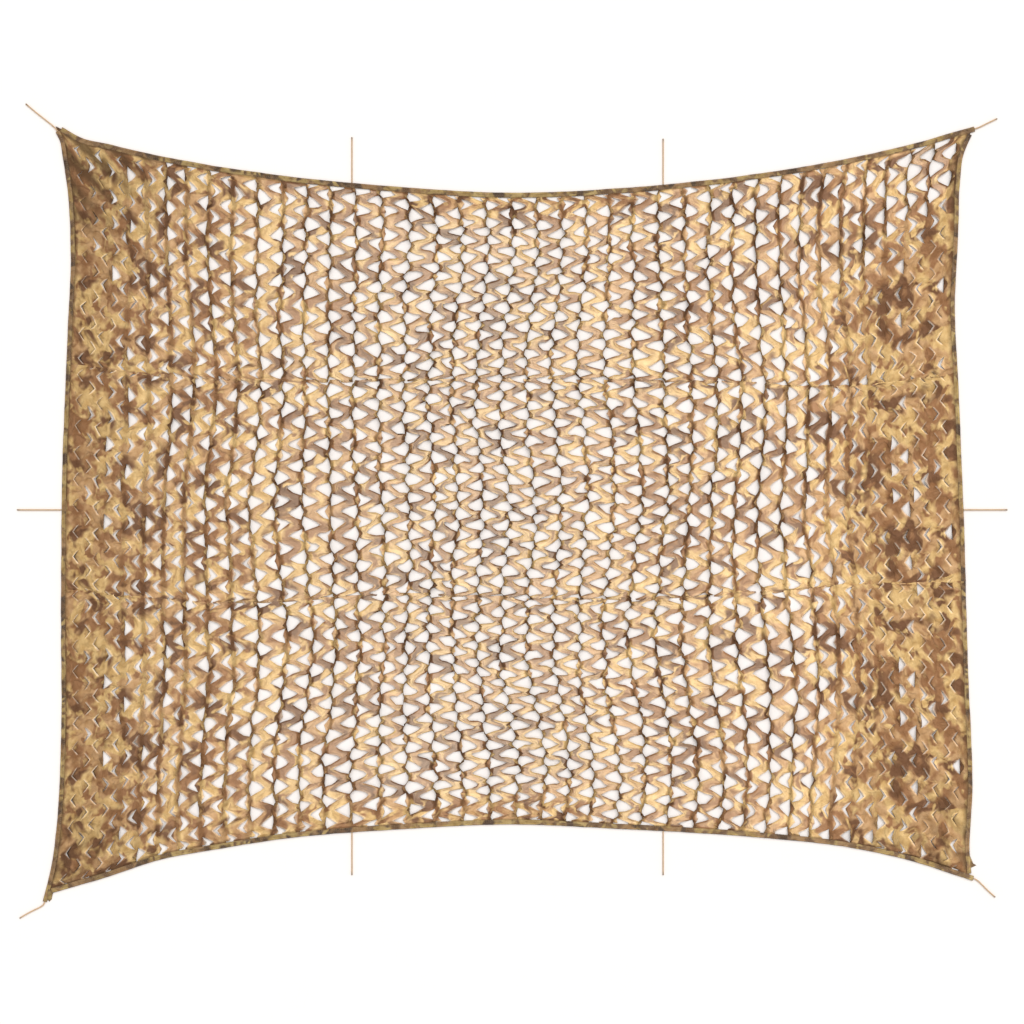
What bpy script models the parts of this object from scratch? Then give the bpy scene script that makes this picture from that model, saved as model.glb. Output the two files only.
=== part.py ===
"""Camouflage net laid out flat: three slit cloth widths, four edge bindings and ten ties.

The net lies on the ground with +Z up. X runs along its long edges and Y along its short ones.
All sizes are in metres. The origin is on the ground, under the middle of the net's box.
"""

import math
from collections import namedtuple

import bmesh
import bpy
import numpy as np
from mathutils import Vector

# ---- Cloth and bindings -------------------------------------------------------------------

CLOTH_THICK = 0.0025       # one layer of coated cloth
GAP = 0.0003               # clearance between neighbouring pieces
SEAM_GAP = 0.0005          # clearance where two cloth widths are sewn edge to edge
LIP_THICK = 0.0020         # each side of a folded binding tape
BINDING_THICK = 2.0 * (LIP_THICK + GAP) + CLOTH_THICK
ROPE_WIDTH = 0.0080        # outer part of a binding, filled by the edge rope
EDGE_ROUND = 0.0020        # rounding of a binding's outer side
LONG_BINDING_WIDTH = 0.022
SHORT_BINDING_WIDTH = 0.019
CLOTH_IN_BINDING = ROPE_WIDTH + 0.0020     # outer line of the binding to the cloth's raw edge
CLOTH_CLEAR = 0.0040       # flat cloth showing inside a binding before the slits begin
CORNER_CUT = 0.0200        # cloth cut away inside the bindings at each corner
LONG_STATIONS = 30         # sections along a long binding
SHORT_STATIONS = 30        # sections along a short binding
BUTT_GAP = 0.0008          # clearance where one binding's end meets another's inner side

# Middle of the net's box, measured from the point where the edge tables start.
BOX_MIDDLE = Vector((-0.0015, -0.0112, 0.0))

# ---- Outline ------------------------------------------------------------------------------
# The outer line of each edge. The cloth is drawn tight between its corners, so the long edges
# sag inwards and the short ones waver.

TOP_LINE = (
    # x        y
    (-1.990, 1.687),
    (-1.920, 1.647),
    (-1.780, 1.611),
    (-1.560, 1.561),
    (-1.050, 1.478),
    (-0.500, 1.424),
    (0.000, 1.398),
    (0.500, 1.420),
    (1.050, 1.477),
    (1.560, 1.565),
    (1.820, 1.627),
    (1.950, 1.665),
    (2.042, 1.691),
)
BOTTOM_LINE = (
    # x        y
    (-2.030, -1.700),
    (-1.800, -1.633),
    (-1.560, -1.555),
    (-1.300, -1.507),
    (-1.050, -1.467),
    (-0.500, -1.420),
    (0.000, -1.399),
    (0.500, -1.420),
    (1.050, -1.453),
    (1.560, -1.513),
    (1.800, -1.570),
    (1.950, -1.619),
    (2.036, -1.648),
)
LEFT_LINE = (
    # y        x
    (-1.738, -2.080),
    (-1.610, -2.047),
    (-1.424, -2.020),
    (-1.070, -2.000),
    (-0.450, -1.999),
    (0.171, -1.993),
    (0.746, -1.971),
    (1.120, -1.956),
    (1.411, -1.970),
    (1.560, -1.992),
    (1.630, -2.005),
    (1.665, -2.023),
)
RIGHT_LINE = (
    # y        x
    (-1.632, 2.033),
    (-1.526, 2.025),
    (-1.247, 2.036),
    (-0.715, 2.017),
    (-0.100, 2.000),
    (0.525, 1.975),
    (0.879, 1.959),
    (1.234, 1.974),
    (1.455, 1.982),
    (1.564, 1.996),
    (1.677, 2.045),
)
UPPER_SEAM = (
    # x        y
    (-2.000, 0.640),
    (-1.450, 0.580),
    (-0.900, 0.565),
    (0.000, 0.574),
    (0.900, 0.560),
    (1.500, 0.540),
    (2.000, 0.600),
)
LOWER_SEAM = (
    # x        y
    (-2.000, -0.360),
    (-1.300, -0.415),
    (-0.500, -0.380),
    (0.200, -0.400),
    (0.900, -0.385),
    (1.500, -0.340),
    (2.000, -0.330),
)

# ---- Slit pattern -------------------------------------------------------------------------
# The cloth is slit in staggered columns and pulled sideways. Each column's slits open as
# arrowheads that point right in even columns and left in odd ones.

COLUMNS = 38
NARROW_STEP = 0.094        # column to column where the slits stay shut
WIDE_STEP = 0.118          # column to column where they are pulled open
OPEN_FROM = 0.209          # share of open area from which a slit is cut through
FULLY_OPEN = 0.38          # share of open area at the middle of the net
WIDEST_FROM = 0.304        # share of open area from which the columns are widest
FLAT_SIDE = 0.38           # flat side of an opening, in half-widths of its cell
POINT_SIDE = 0.66          # its pointed side, in half-widths
HALF_HEIGHT = 0.54         # its half-height, in half-heights of the cell
TONGUE_OUT = 0.26          # a tongue that lies flat in the opening, from the flat side
TONGUE_BACK = -0.10        # a tongue that has curled back under the strip
FLAT_TONGUE_SHARE = 0.35

OPEN_PROFILE = (
    # x      share of open area
    (-1.75, 0.00),
    (-1.30, 0.10),
    (-1.05, 0.21),
    (-0.60, 0.32),
    (0.00, 0.38),
    (0.50, 0.33),
    (0.80, 0.24),
    (1.12, 0.195),
    (1.40, 0.05),
    (1.65, 0.00),
)
OPEN_CORNER = (1.84, 1.43)       # the pulled corner, where the slits gape again
OPEN_CORNER_REACH = 0.21
OPEN_CORNER_SHARE = 0.266        # least share of open area there

# ---- Unevenness ---------------------------------------------------------------------------

SPINE_LIFT = 0.0190        # how far the cut edges of an open slit stand up
LEAST_LIFT = 0.60          # the lowest cut edge, as a share of that
POINT_LIFT = 0.0020
PUCKER = 0.0080            # puckers of the cloth between slits
PUCKER_FLAT_SHARE = 0.45   # share of the cloth that stays down on the ground
SWAY = 0.0045              # sideways unevenness of the strips
CORNER_FOLD_HEIGHT = 0.0100
CORNER_FOLD_PITCH = 0.115
CORNER_FOLD_REACH = 0.55
FOLDED_CORNERS = ((-2.000, 1.650), (2.020, 1.660), (-2.040, -1.680), (2.020, -1.630))
PATTERN_SEED = 11

# ---- Ties ---------------------------------------------------------------------------------

TIE_DIAMETER = 0.0065
TIE_POINT_STEP = 0.018
TIE_LEAD = 0.030           # how strongly a tie keeps to its way out of the binding
TIE_ROOT_GAP = 0.0008      # clearance between a binding's end and the tie that leaves it

TieRow = namedtuple("TieRow", "name edge place end_x end_y")
TIES = (
    #      name                   edge      place   free end x, y
    TieRow("tie_top_left", "top", -0.711, -0.711, 1.644),
    TieRow("tie_top_right", "top", 0.667, 0.667, 1.637),
    TieRow("tie_bottom_left", "bottom", -0.711, -0.711, -1.623),
    TieRow("tie_bottom_right", "bottom", 0.667, 0.667, -1.623),
    TieRow("tie_left", "left", -0.006, -2.194, -0.006),
    TieRow("tie_right", "right", -0.006, 2.191, -0.006),
)
CORNER_TIES = (
    #      name                       edge     which end  free end x, y
    TieRow("tie_corner_top_left", "left", "far", -2.155, 1.792),
    TieRow("tie_corner_top_right", "top", "far", 2.146, 1.726),
    TieRow("tie_corner_bottom_left", "left", "near", -2.182, -1.814),
    TieRow("tie_corner_bottom_right", "bottom", "far", 2.137, -1.721),
)

# ---- Colours ------------------------------------------------------------------------------

Finish = namedtuple("Finish", "colour roughness metallic")
CLOTH_FINISH = Finish((0.47, 0.31, 0.15), 0.72, 0.0)
BINDING_FINISH = Finish((0.30, 0.21, 0.10), 0.68, 0.0)
TIE_FINISH = Finish((0.60, 0.45, 0.27), 0.80, 0.0)


# ---- Lines --------------------------------------------------------------------------------


def smooth_read(table, along):
    """Return the level and slope of a smooth line through a table's rows, at one place."""
    rows = np.array(table)
    places = rows[:, 0]
    levels = rows[:, 1]
    slopes = np.gradient(levels, places)
    index = int(np.clip(np.searchsorted(places, along) - 1, 0, len(places) - 2))
    span = places[index + 1] - places[index]
    share = (along - places[index]) / span
    start, rise = levels[index], levels[index + 1] - levels[index]
    pull_in, pull_out = slopes[index] * span, slopes[index + 1] * span
    bend = pull_in + pull_out - 2.0 * rise
    turn = 3.0 * rise - 2.0 * pull_in - pull_out
    level = start + pull_in * share + turn * share ** 2 + bend * share ** 3
    slope = (pull_in + 2.0 * turn * share + 3.0 * bend * share ** 2) / span
    return float(level), float(slope)


class Edge:
    """One edge of the net: its outer line, which way is inwards, and its binding's width."""

    def __init__(self, table, lengthways, inwards, width):
        """Keep the line's table; lengthways is True for an edge that runs along X."""
        self.table = table
        self.lengthways = lengthways
        self.inwards = inwards
        self.width = width

    def level(self, along, inset=0.0):
        """Return the inset line's across value at one place along the edge."""
        level, slope = smooth_read(self.table, along)
        return level + self.inwards * inset * math.hypot(1.0, slope)

    def point(self, along, inset=0.0, height=0.0):
        """Return a point on the section that stands square to the line at one place."""
        level, slope = smooth_read(self.table, along)
        shift = self.inwards * inset / math.hypot(1.0, slope)
        place, across = along - shift * slope, level + shift
        return Vector((place, across, height) if self.lengthways else (across, place, height))

    def direction(self, along):
        """Return the line's unit direction towards growing places."""
        slope = smooth_read(self.table, along)[1]
        return Vector((1.0, slope, 0.0) if self.lengthways else (slope, 1.0, 0.0)).normalized()

    def meets(self, along, inset, other):
        """Move along this edge until its inset corner stands clear of another edge's binding."""
        reach = other.width + BUTT_GAP
        for _ in range(12):
            corner = self.point(along, inset)
            place, across = (corner.x, corner.y) if self.lengthways else (corner.y, corner.x)
            along += other.level(across, reach) - place
        return along


EDGES = {
    "top": Edge(TOP_LINE, True, -1.0, LONG_BINDING_WIDTH),
    "bottom": Edge(BOTTOM_LINE, True, 1.0, LONG_BINDING_WIDTH),
    "left": Edge(LEFT_LINE, False, 1.0, SHORT_BINDING_WIDTH),
    "right": Edge(RIGHT_LINE, False, -1.0, SHORT_BINDING_WIDTH),
}


# ---- Materials and objects ----------------------------------------------------------------


def make_material(name, finish):
    """Return a plain Principled material."""
    material = bpy.data.materials.new(name)
    material.use_nodes = True
    shader = material.node_tree.nodes["Principled BSDF"]
    shader.inputs["Base Color"].default_value = (*finish.colour, 1.0)
    shader.inputs["Roughness"].default_value = finish.roughness
    shader.inputs["Metallic"].default_value = finish.metallic
    return material


def add_object(name, data, finish):
    """Link an object of its own material, moved so that the net's box is centred."""
    data.materials.append(make_material(name, finish))
    piece = bpy.data.objects.new(name, data)
    piece.location = -BOX_MIDDLE
    bpy.context.scene.collection.objects.link(piece)
    return piece


# ---- Bindings -----------------------------------------------------------------------------


def binding_section(width):
    """Return a folded tape's section as (inset, height): a rope side and two flat lips."""
    slot_low = LIP_THICK
    slot_high = BINDING_THICK - LIP_THICK
    return (
        (0.0, EDGE_ROUND),
        (EDGE_ROUND, 0.0),
        (width, 0.0),
        (width, slot_low),
        (ROPE_WIDTH, slot_low),
        (ROPE_WIDTH, slot_high),
        (width, slot_high),
        (width, BINDING_THICK),
        (EDGE_ROUND, BINDING_THICK),
        (0.0, BINDING_THICK - EDGE_ROUND),
    )


def build_binding(name, edge, stations):
    """Sweep the folded tape along an edge through the given places."""
    section = binding_section(edge.width)
    mesh = bpy.data.meshes.new(name)
    shape = bmesh.new()
    rings = []
    for along in stations:
        rings.append([shape.verts.new(edge.point(along, *corner)) for corner in section])
    for ring, following in zip(rings, rings[1:]):
        for index in range(len(section)):
            after = (index + 1) % len(section)
            shape.faces.new((ring[index], ring[after], following[after], following[index]))
    shape.faces.new(rings[0][::-1])
    shape.faces.new(rings[-1])
    bmesh.ops.recalc_face_normals(shape, faces=shape.faces)
    shape.to_mesh(mesh)
    shape.free()
    return add_object(name, mesh, BINDING_FINISH)


def binding_stations():
    """Return each binding's places, with its ends butted against its neighbours."""
    top, bottom, left, right = (EDGES[name] for name in ("top", "bottom", "left", "right"))
    top_start = top.meets(TOP_LINE[0][0], top.width, left)
    bottom_start = bottom.meets(BOTTOM_LINE[0][0], bottom.width, left)
    right_start = right.meets(RIGHT_LINE[0][0], right.width, bottom)
    right_stop = right.meets(RIGHT_LINE[-1][0], right.width, top)
    return {
        "top": np.linspace(top_start, TOP_LINE[-1][0], LONG_STATIONS),
        "bottom": np.linspace(bottom_start, BOTTOM_LINE[-1][0], LONG_STATIONS),
        "left": np.linspace(LEFT_LINE[0][0], LEFT_LINE[-1][0], SHORT_STATIONS),
        "right": np.linspace(right_start, right_stop, SHORT_STATIONS),
    }


# ---- Cloth widths -------------------------------------------------------------------------

PanelRow = namedtuple("PanelRow", "name rows lower upper")
PANELS = (
    #        name                 rows  lower line     upper line
    PanelRow("net_panel_top", 10, "upper_seam", "top"),
    PanelRow("net_panel_middle", 12, "lower_seam", "upper_seam"),
    PanelRow("net_panel_bottom", 13, "bottom", "lower_seam"),
)
SEAMS = {"upper_seam": UPPER_SEAM, "lower_seam": LOWER_SEAM}


def open_share(x, y):
    """Return the share of open area in the slit cloth at one place."""
    profile = np.array(OPEN_PROFILE)
    across_net = float(np.interp(x, profile[:, 0], profile[:, 1]))
    from_corner = math.hypot(x - OPEN_CORNER[0], y - OPEN_CORNER[1])
    if from_corner < OPEN_CORNER_REACH:
        return max(across_net, OPEN_CORNER_SHARE)
    return across_net


def column_shares():
    """Return each column's place across the net, 0 to 1, wider where the slits open."""
    profile = np.array(OPEN_PROFILE)
    spread = np.linspace(-2.0, 2.0, COLUMNS)
    opening = np.interp(spread, profile[:, 0], profile[:, 1]) / WIDEST_FROM
    steps = NARROW_STEP + (WIDE_STEP - NARROW_STEP) * np.minimum(1.0, opening)
    return np.concatenate(([0.0], np.cumsum(steps))) / np.sum(steps)


def corner_fold(x, y):
    """Return the height of the soft folds that run out of the net's pulled corners."""
    height = 0.0
    for corner_x, corner_y in FOLDED_CORNERS:
        away_x, away_y = x - corner_x, y - corner_y
        distance = math.hypot(away_x, away_y)
        if distance < CORNER_FOLD_REACH:
            fade = math.sin(math.pi * distance / CORNER_FOLD_REACH)
            ripple = math.cos(2.0 * math.pi * (abs(away_x) - abs(away_y)) / CORNER_FOLD_PITCH)
            height += CORNER_FOLD_HEIGHT * fade * max(0.0, ripple)
    return height


class ClothWidth:
    """One width of slit cloth, built cell by cell on a staggered lattice."""

    def __init__(self, row, seed):
        """Keep the panel's lines and draw its unevenness from the seed."""
        self.row = row
        self.shares = column_shares()
        self.shape = bmesh.new()
        self.corners = {}
        draw = np.random.default_rng(seed)
        size = (COLUMNS + 3, row.rows + 3)
        self.sway = draw.uniform(-SWAY, SWAY, (*size, 2))
        self.pucker = draw.random(size)
        self.tongue = draw.random(size)

    def limit(self, line, x, inset, seam_side):
        """Return the height up the net of one of the panel's long sides."""
        if line in SEAMS:
            return smooth_read(SEAMS[line], x)[0] + seam_side * SEAM_GAP / 2.0
        return EDGES[line].level(x, inset)

    def place(self, column, row):
        """Return the lattice point's (x, y); one step past an end lies inside the binding."""
        flat_inset = {name: edge.width + CLOTH_CLEAR for name, edge in EDGES.items()}
        held = CLOTH_IN_BINDING
        left_inset = held if column < 0 else flat_inset["left"]
        right_inset = held if column > COLUMNS else flat_inset["right"]
        lower_inset = held if row < 0 else flat_inset["bottom"]
        upper_inset = held if row > self.row.rows else flat_inset["top"]
        share = self.shares[min(max(column, 0), COLUMNS)]
        rise = min(max(row, 0), self.row.rows) / self.row.rows
        x, y = 0.0, 0.0
        for _ in range(8):
            start = EDGES["left"].level(y, left_inset)
            stop = EDGES["right"].level(y, right_inset)
            x = start + (stop - start) * share
            lower = self.limit(self.row.lower, x, lower_inset, 1.0)
            upper = self.limit(self.row.upper, x, upper_inset, -1.0)
            y = lower + (upper - lower) * rise
        if column < 0 or column > COLUMNS:
            if row == 0 and self.row.lower not in SEAMS:
                y += CORNER_CUT
            if row == self.row.rows and self.row.upper not in SEAMS:
                y -= CORNER_CUT
            x = EDGES["left" if column < 0 else "right"].level(y, held)
        return x, y

    def in_binding(self, column, row):
        """Say whether a lattice point is held at a binding's height."""
        beside = column <= 0 or column >= COLUMNS
        above = row >= self.row.rows and self.row.upper not in SEAMS
        below = row <= 0 and self.row.lower not in SEAMS
        return beside or above or below

    def corner(self, column, row):
        """Return the lattice point's vertex, made on first use."""
        key = (column, row)
        if key not in self.corners:
            x, y = self.place(column, row)
            on_seam = row <= 0 or row >= self.row.rows
            if self.in_binding(column, row):
                height = LIP_THICK + GAP
            elif on_seam:
                height = 0.0
            else:
                x += self.sway[column, row, 0]
                y += self.sway[column, row, 1]
                lifted = max(0.0, self.pucker[column, row] - PUCKER_FLAT_SHARE)
                shut = 1.0 - min(1.0, open_share(x, y) / FULLY_OPEN)
                height = PUCKER * lifted / (1.0 - PUCKER_FLAT_SHARE) * shut + corner_fold(x, y)
            self.corners[key] = self.shape.verts.new((x, y, height))
        return self.corners[key]

    def cell_corners(self, column, row):
        """Return the west, south, east and north corners of a cell, None past the border."""
        found = []
        for across, up in ((-1, 0), (0, -1), (1, 0), (0, 1)):
            inside = 0 <= column + across <= COLUMNS and 0 <= row + up <= self.row.rows
            found.append(self.corner(column + across, row + up) if inside else None)
        return found

    def add_faces(self, *faces):
        """Add faces given as vertex tuples, counter-clockwise from above."""
        for face in faces:
            self.shape.faces.new(face)

    def cut_cell(self, column, row, share):
        """Build a whole cell as a ring round its arrowhead opening."""
        west, south, east, north = self.cell_corners(column, row)
        centre = (west.co + south.co + east.co + north.co) / 4.0
        scale = math.sqrt(min(1.0, share / FULLY_OPEN))
        facing = 1.0 if column % 2 == 0 else -1.0
        is_flat = self.tongue[column, row] < FLAT_TONGUE_SHARE
        tongue = FLAT_SIDE - (TONGUE_OUT if is_flat else TONGUE_BACK)
        height_share = LEAST_LIFT + (1.0 - LEAST_LIFT) * self.pucker[column, row]
        lift = SPINE_LIFT * scale * height_share

        def inner(across, up, height):
            """Place a point of the opening in the cell's own half-widths and half-heights."""
            sideways = (east if across > 0.0 else west).co - centre
            upwards = (north if up > 0.0 else south).co - centre
            spot = centre + sideways * abs(across) * scale + upwards * abs(up) * scale
            return self.shape.verts.new((spot.x, spot.y, height))

        upper = inner(-FLAT_SIDE * facing, HALF_HEIGHT, lift)
        lower = inner(-FLAT_SIDE * facing, -HALF_HEIGHT, lift)
        flat = inner(-tongue * facing, 0.0, POINT_LIFT if is_flat else lift)
        point = inner(POINT_SIDE * facing, 0.0, POINT_LIFT)
        west_in, east_in = (flat, point) if facing > 0.0 else (point, flat)
        self.add_faces(
            (west, south, lower), (west, lower, west_in), (west, west_in, upper),
            (west, upper, north), (east, north, upper), (east, upper, east_in),
            (east, east_in, lower), (east, lower, south),
        )

    def whole_cell(self, column, row):
        """Build a shut cell, or the part of it that lies inside the border."""
        ring = self.cell_corners(column, row)
        if None not in ring:
            self.add_faces(ring)
            return
        centre = self.corner(column, row)
        for index in range(4):
            start, stop = ring[index], ring[(index + 1) % 4]
            if start and stop:
                self.add_faces((centre, start, stop))

    def fill_lattice(self):
        """Build every cell and return how many are cut through."""
        cut = 0
        for column in range(COLUMNS + 1):
            for row in range(column % 2, self.row.rows + 1, 2):
                inside = 0 < column < COLUMNS and 0 < row < self.row.rows
                share = open_share(*self.place(column, row))
                if inside and share >= OPEN_FROM:
                    self.cut_cell(column, row, share)
                    cut += 1
                else:
                    self.whole_cell(column, row)
        return cut

    def add_held_strip(self, spots):
        """Join the lattice's border to the strip of cloth that a binding holds."""
        for (inner, outer), (inner_next, outer_next) in zip(spots, spots[1:]):
            keys = dict.fromkeys((inner, inner_next, outer_next, outer))
            self.add_faces([self.corner(*key) for key in keys])

    def add_held_strips(self):
        """Add the strips of cloth inside the side bindings and the long binding, if any."""
        rows = self.row.rows
        left = [((0, row), (-1, row)) for row in range(rows + 1)]
        right = [((COLUMNS, row), (COLUMNS + 1, row)) for row in range(rows, -1, -1)]
        strips = [left, right]
        if self.row.upper not in SEAMS:
            strips.append([((column, rows), (column, rows + 1)) for column in range(COLUMNS + 1)])
            left.append(((0, rows), (0, rows + 1)))
            right.insert(0, ((COLUMNS, rows), (COLUMNS, rows + 1)))
        if self.row.lower not in SEAMS:
            strips.append([((column, 0), (column, -1)) for column in range(COLUMNS, -1, -1)])
            left.insert(0, ((0, 0), (0, -1)))
            right.append(((COLUMNS, 0), (COLUMNS, -1)))
        for spots in strips:
            self.add_held_strip(spots)

    def build(self):
        """Make the panel's object: the laid surface, thickened upwards."""
        cut = self.fill_lattice()
        self.add_held_strips()
        bmesh.ops.triangulate(self.shape, faces=self.shape.faces)
        raised = bmesh.ops.extrude_face_region(self.shape, geom=self.shape.faces[:])["geom"]
        upper = [item for item in raised if isinstance(item, bmesh.types.BMVert)]
        bmesh.ops.translate(self.shape, verts=upper, vec=(0.0, 0.0, CLOTH_THICK))
        bmesh.ops.recalc_face_normals(self.shape, faces=self.shape.faces)
        mesh = bpy.data.meshes.new(self.row.name)
        self.shape.to_mesh(mesh)
        self.shape.free()
        add_object(self.row.name, mesh, CLOTH_FINISH)
        print(f"{self.row.name}: {cut} openings cut")
        return cut


# ---- Ties ---------------------------------------------------------------------------------


def tie_route(root, outwards, end):
    """Return points on a smooth curve that leaves the binding squarely and ends at the cut end."""
    handles = (root, root + outwards * TIE_LEAD, root.lerp(end, 1.0 / 3.0), end)
    steps = max(8, round((end - root).length / TIE_POINT_STEP))
    points = []
    for index in range(steps + 1):
        share = index / steps
        left = 1.0 - share
        weights = (left ** 3, 3.0 * left ** 2 * share, 3.0 * left * share ** 2, share ** 3)
        points.append(sum((handle * weight for handle, weight in zip(handles, weights)), Vector()))
    return points


def build_tie(name, root, outwards, end):
    """Lay one tie on the ground, from its binding to its free end."""
    curve = bpy.data.curves.new(name, "CURVE")
    curve.dimensions = "3D"
    curve.bevel_depth = TIE_DIAMETER / 2.0
    curve.bevel_resolution = 2
    curve.use_fill_caps = True
    points = tie_route(root, outwards, end)
    spline = curve.splines.new("POLY")
    spline.points.add(len(points) - 1)
    for slot, point in zip(spline.points, points):
        slot.co = (*point, 1.0)
    return add_object(name, curve, TIE_FINISH)


def build_ties(stations):
    """Lay the ties of the edges and of the corners."""
    height = TIE_DIAMETER / 2.0 + GAP
    for row in TIES:
        edge = EDGES[row.edge]
        places = stations[row.edge]
        index = int(np.searchsorted(places, row.place))
        before = edge.point(places[index - 1], 0.0, height)
        after = edge.point(places[index], 0.0, height)
        share = (row.place - places[index - 1]) / (places[index] - places[index - 1])
        end = Vector((row.end_x, row.end_y, height))
        along = (after - before).normalized()
        outwards = (end - before.lerp(after, share)).normalized()
        lean = abs(outwards.dot(along)) / math.sqrt(1.0 - outwards.dot(along) ** 2)
        clear = GAP + lean * TIE_DIAMETER / 2.0
        build_tie(row.name, before.lerp(after, share) + outwards * clear, outwards, end)
    for row in CORNER_TIES:
        edge = EDGES[row.edge]
        is_far = row.place == "far"
        along = stations[row.edge][-1 if is_far else 0]
        outwards = edge.direction(along) * (1.0 if is_far else -1.0)
        root = edge.point(along, edge.width / 2.0, height) + outwards * TIE_ROOT_GAP
        build_tie(row.name, root, outwards, Vector((row.end_x, row.end_y, height)))


def main():
    """Build the whole net."""
    for old in list(bpy.data.objects):
        bpy.data.objects.remove(old)
    stations = binding_stations()
    for name, edge in EDGES.items():
        build_binding(f"binding_{name}", edge, stations[name])
    cuts = [ClothWidth(row, PATTERN_SEED + index).build() for index, row in enumerate(PANELS)]
    print(f"openings in all: {sum(cuts)}")
    build_ties(stations)


main()
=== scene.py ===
"""Dressed model of a camouflage net laid out flat on the ground.

Three widths of slit cloth, the folded tape and rope round them, their stitching and ten ties
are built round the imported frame. All sizes are in metres, with +Z up.
"""

import logging
import math
from dataclasses import dataclass, field, fields
from enum import Enum
from typing import NamedTuple, Sequence

import bpy
import numpy as np
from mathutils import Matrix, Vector


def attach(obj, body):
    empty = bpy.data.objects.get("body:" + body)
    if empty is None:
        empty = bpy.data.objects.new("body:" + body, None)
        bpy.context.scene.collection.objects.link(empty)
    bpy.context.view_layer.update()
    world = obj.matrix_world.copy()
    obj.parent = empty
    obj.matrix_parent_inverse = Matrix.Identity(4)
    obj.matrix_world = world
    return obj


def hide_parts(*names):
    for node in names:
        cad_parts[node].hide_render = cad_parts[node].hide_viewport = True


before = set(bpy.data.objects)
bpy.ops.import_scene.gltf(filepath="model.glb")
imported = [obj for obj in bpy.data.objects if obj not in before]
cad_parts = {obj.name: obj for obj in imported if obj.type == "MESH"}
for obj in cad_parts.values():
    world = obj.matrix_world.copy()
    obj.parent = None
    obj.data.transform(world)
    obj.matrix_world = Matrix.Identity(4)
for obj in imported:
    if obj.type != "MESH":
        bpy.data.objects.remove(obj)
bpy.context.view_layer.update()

logging.basicConfig(level=logging.INFO, format="%(levelname)s %(name)s: %(message)s")
LOG = logging.getLogger("net")

Rows = tuple[tuple[float, float], ...]
Array = np.ndarray
Colour = tuple[float, float, float]
Socket = bpy.types.NodeSocket

# ---- Outline, as in the part's source ------------------------------------------------------

BOX_MIDDLE = np.array((-0.0015, -0.0112, 0.0))
TOP_LINE: Rows = (
    # x        y
    (-1.990, 1.687), (-1.920, 1.647), (-1.780, 1.611), (-1.560, 1.561), (-1.050, 1.478),
    (-0.500, 1.424), (0.000, 1.398), (0.500, 1.420), (1.050, 1.477), (1.560, 1.565),
    (1.820, 1.627), (1.950, 1.665), (2.042, 1.691),
)
BOTTOM_LINE: Rows = (
    # x        y
    (-2.030, -1.700), (-1.800, -1.633), (-1.560, -1.555), (-1.300, -1.507), (-1.050, -1.467),
    (-0.500, -1.420), (0.000, -1.399), (0.500, -1.420), (1.050, -1.453), (1.560, -1.513),
    (1.800, -1.570), (1.950, -1.619), (2.036, -1.648),
)
LEFT_LINE: Rows = (
    # y        x
    (-1.738, -2.080), (-1.610, -2.047), (-1.424, -2.020), (-1.070, -2.000), (-0.450, -1.999),
    (0.171, -1.993), (0.746, -1.971), (1.120, -1.956), (1.411, -1.970), (1.560, -1.992),
    (1.630, -2.005), (1.665, -2.023),
)
RIGHT_LINE: Rows = (
    # y        x
    (-1.632, 2.033), (-1.526, 2.025), (-1.247, 2.036), (-0.715, 2.017), (-0.100, 2.000),
    (0.525, 1.975), (0.879, 1.959), (1.234, 1.974), (1.455, 1.982), (1.564, 1.996),
    (1.677, 2.045),
)
UPPER_SEAM: Rows = (
    # x        y
    (-2.000, 0.640), (-1.450, 0.580), (-0.900, 0.565), (0.000, 0.574), (0.900, 0.560),
    (1.500, 0.540), (2.000, 0.600),
)
LOWER_SEAM: Rows = (
    # x        y
    (-2.000, -0.360), (-1.300, -0.415), (-0.500, -0.380), (0.200, -0.400), (0.900, -0.385),
    (1.500, -0.340), (2.000, -0.330),
)

CLOTH_HELD_AT = 0.0034      # height of the cloth where a binding holds it
CLOTH_IN_BINDING = 0.0100   # outer line of a binding to the cloth's raw edge
CLOTH_CLEAR = 0.0040        # flat cloth showing inside a binding
CLOTH_HELD = 0.0120         # cloth that a binding takes in, measured on the flat cloth
LONG_BINDING_WIDTH = 0.022
SHORT_BINDING_WIDTH = 0.019
BUTT_GAP = 0.0008           # clearance where one binding's end meets another's inner side
BUTT_ROUNDS = 12            # rounds that find where it clears
TIE_DIAMETER = 0.0065
TIE_GROUND_GAP = 0.0003
TIE_LEAD = 0.030
TIE_ROOT_GAP = 0.0008
TIE_POINT_STEP = 0.006


class Side(Enum):
    """One of the net's four edges."""

    TOP = "top"
    BOTTOM = "bottom"
    LEFT = "left"
    RIGHT = "right"


class End(Enum):
    """Which end of a binding a corner tie leaves."""

    NEAR = 0
    FAR = -1


class Strip(Enum):
    """The two kinds of cloth strip between neighbouring columns of slits."""

    LEAF = "leaf"
    SPINE = "spine"


class Rising(NamedTuple):
    """A size that rises, or falls, as a share goes from 0 to 1."""

    start: float
    more: float

    def at(self, share: Array | float) -> Array | float:
        """Return the size at a share."""
        return self.start + self.more * share


def unit(value: Array | float) -> Array:
    """Hold a value between 0 and 1."""
    return np.clip(value, 0.0, 1.0)


def blend(first: Array, second: Array, share: float) -> Array:
    """Return what lies a share of the way from the first to the second."""
    return first * (1.0 - share) + second * share


def read_rows(rows: Rows, place: Array | float) -> Array:
    """Read a table of (place, level) rows along straight lines between them."""
    return np.interp(place, *np.array(rows).T)


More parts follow.
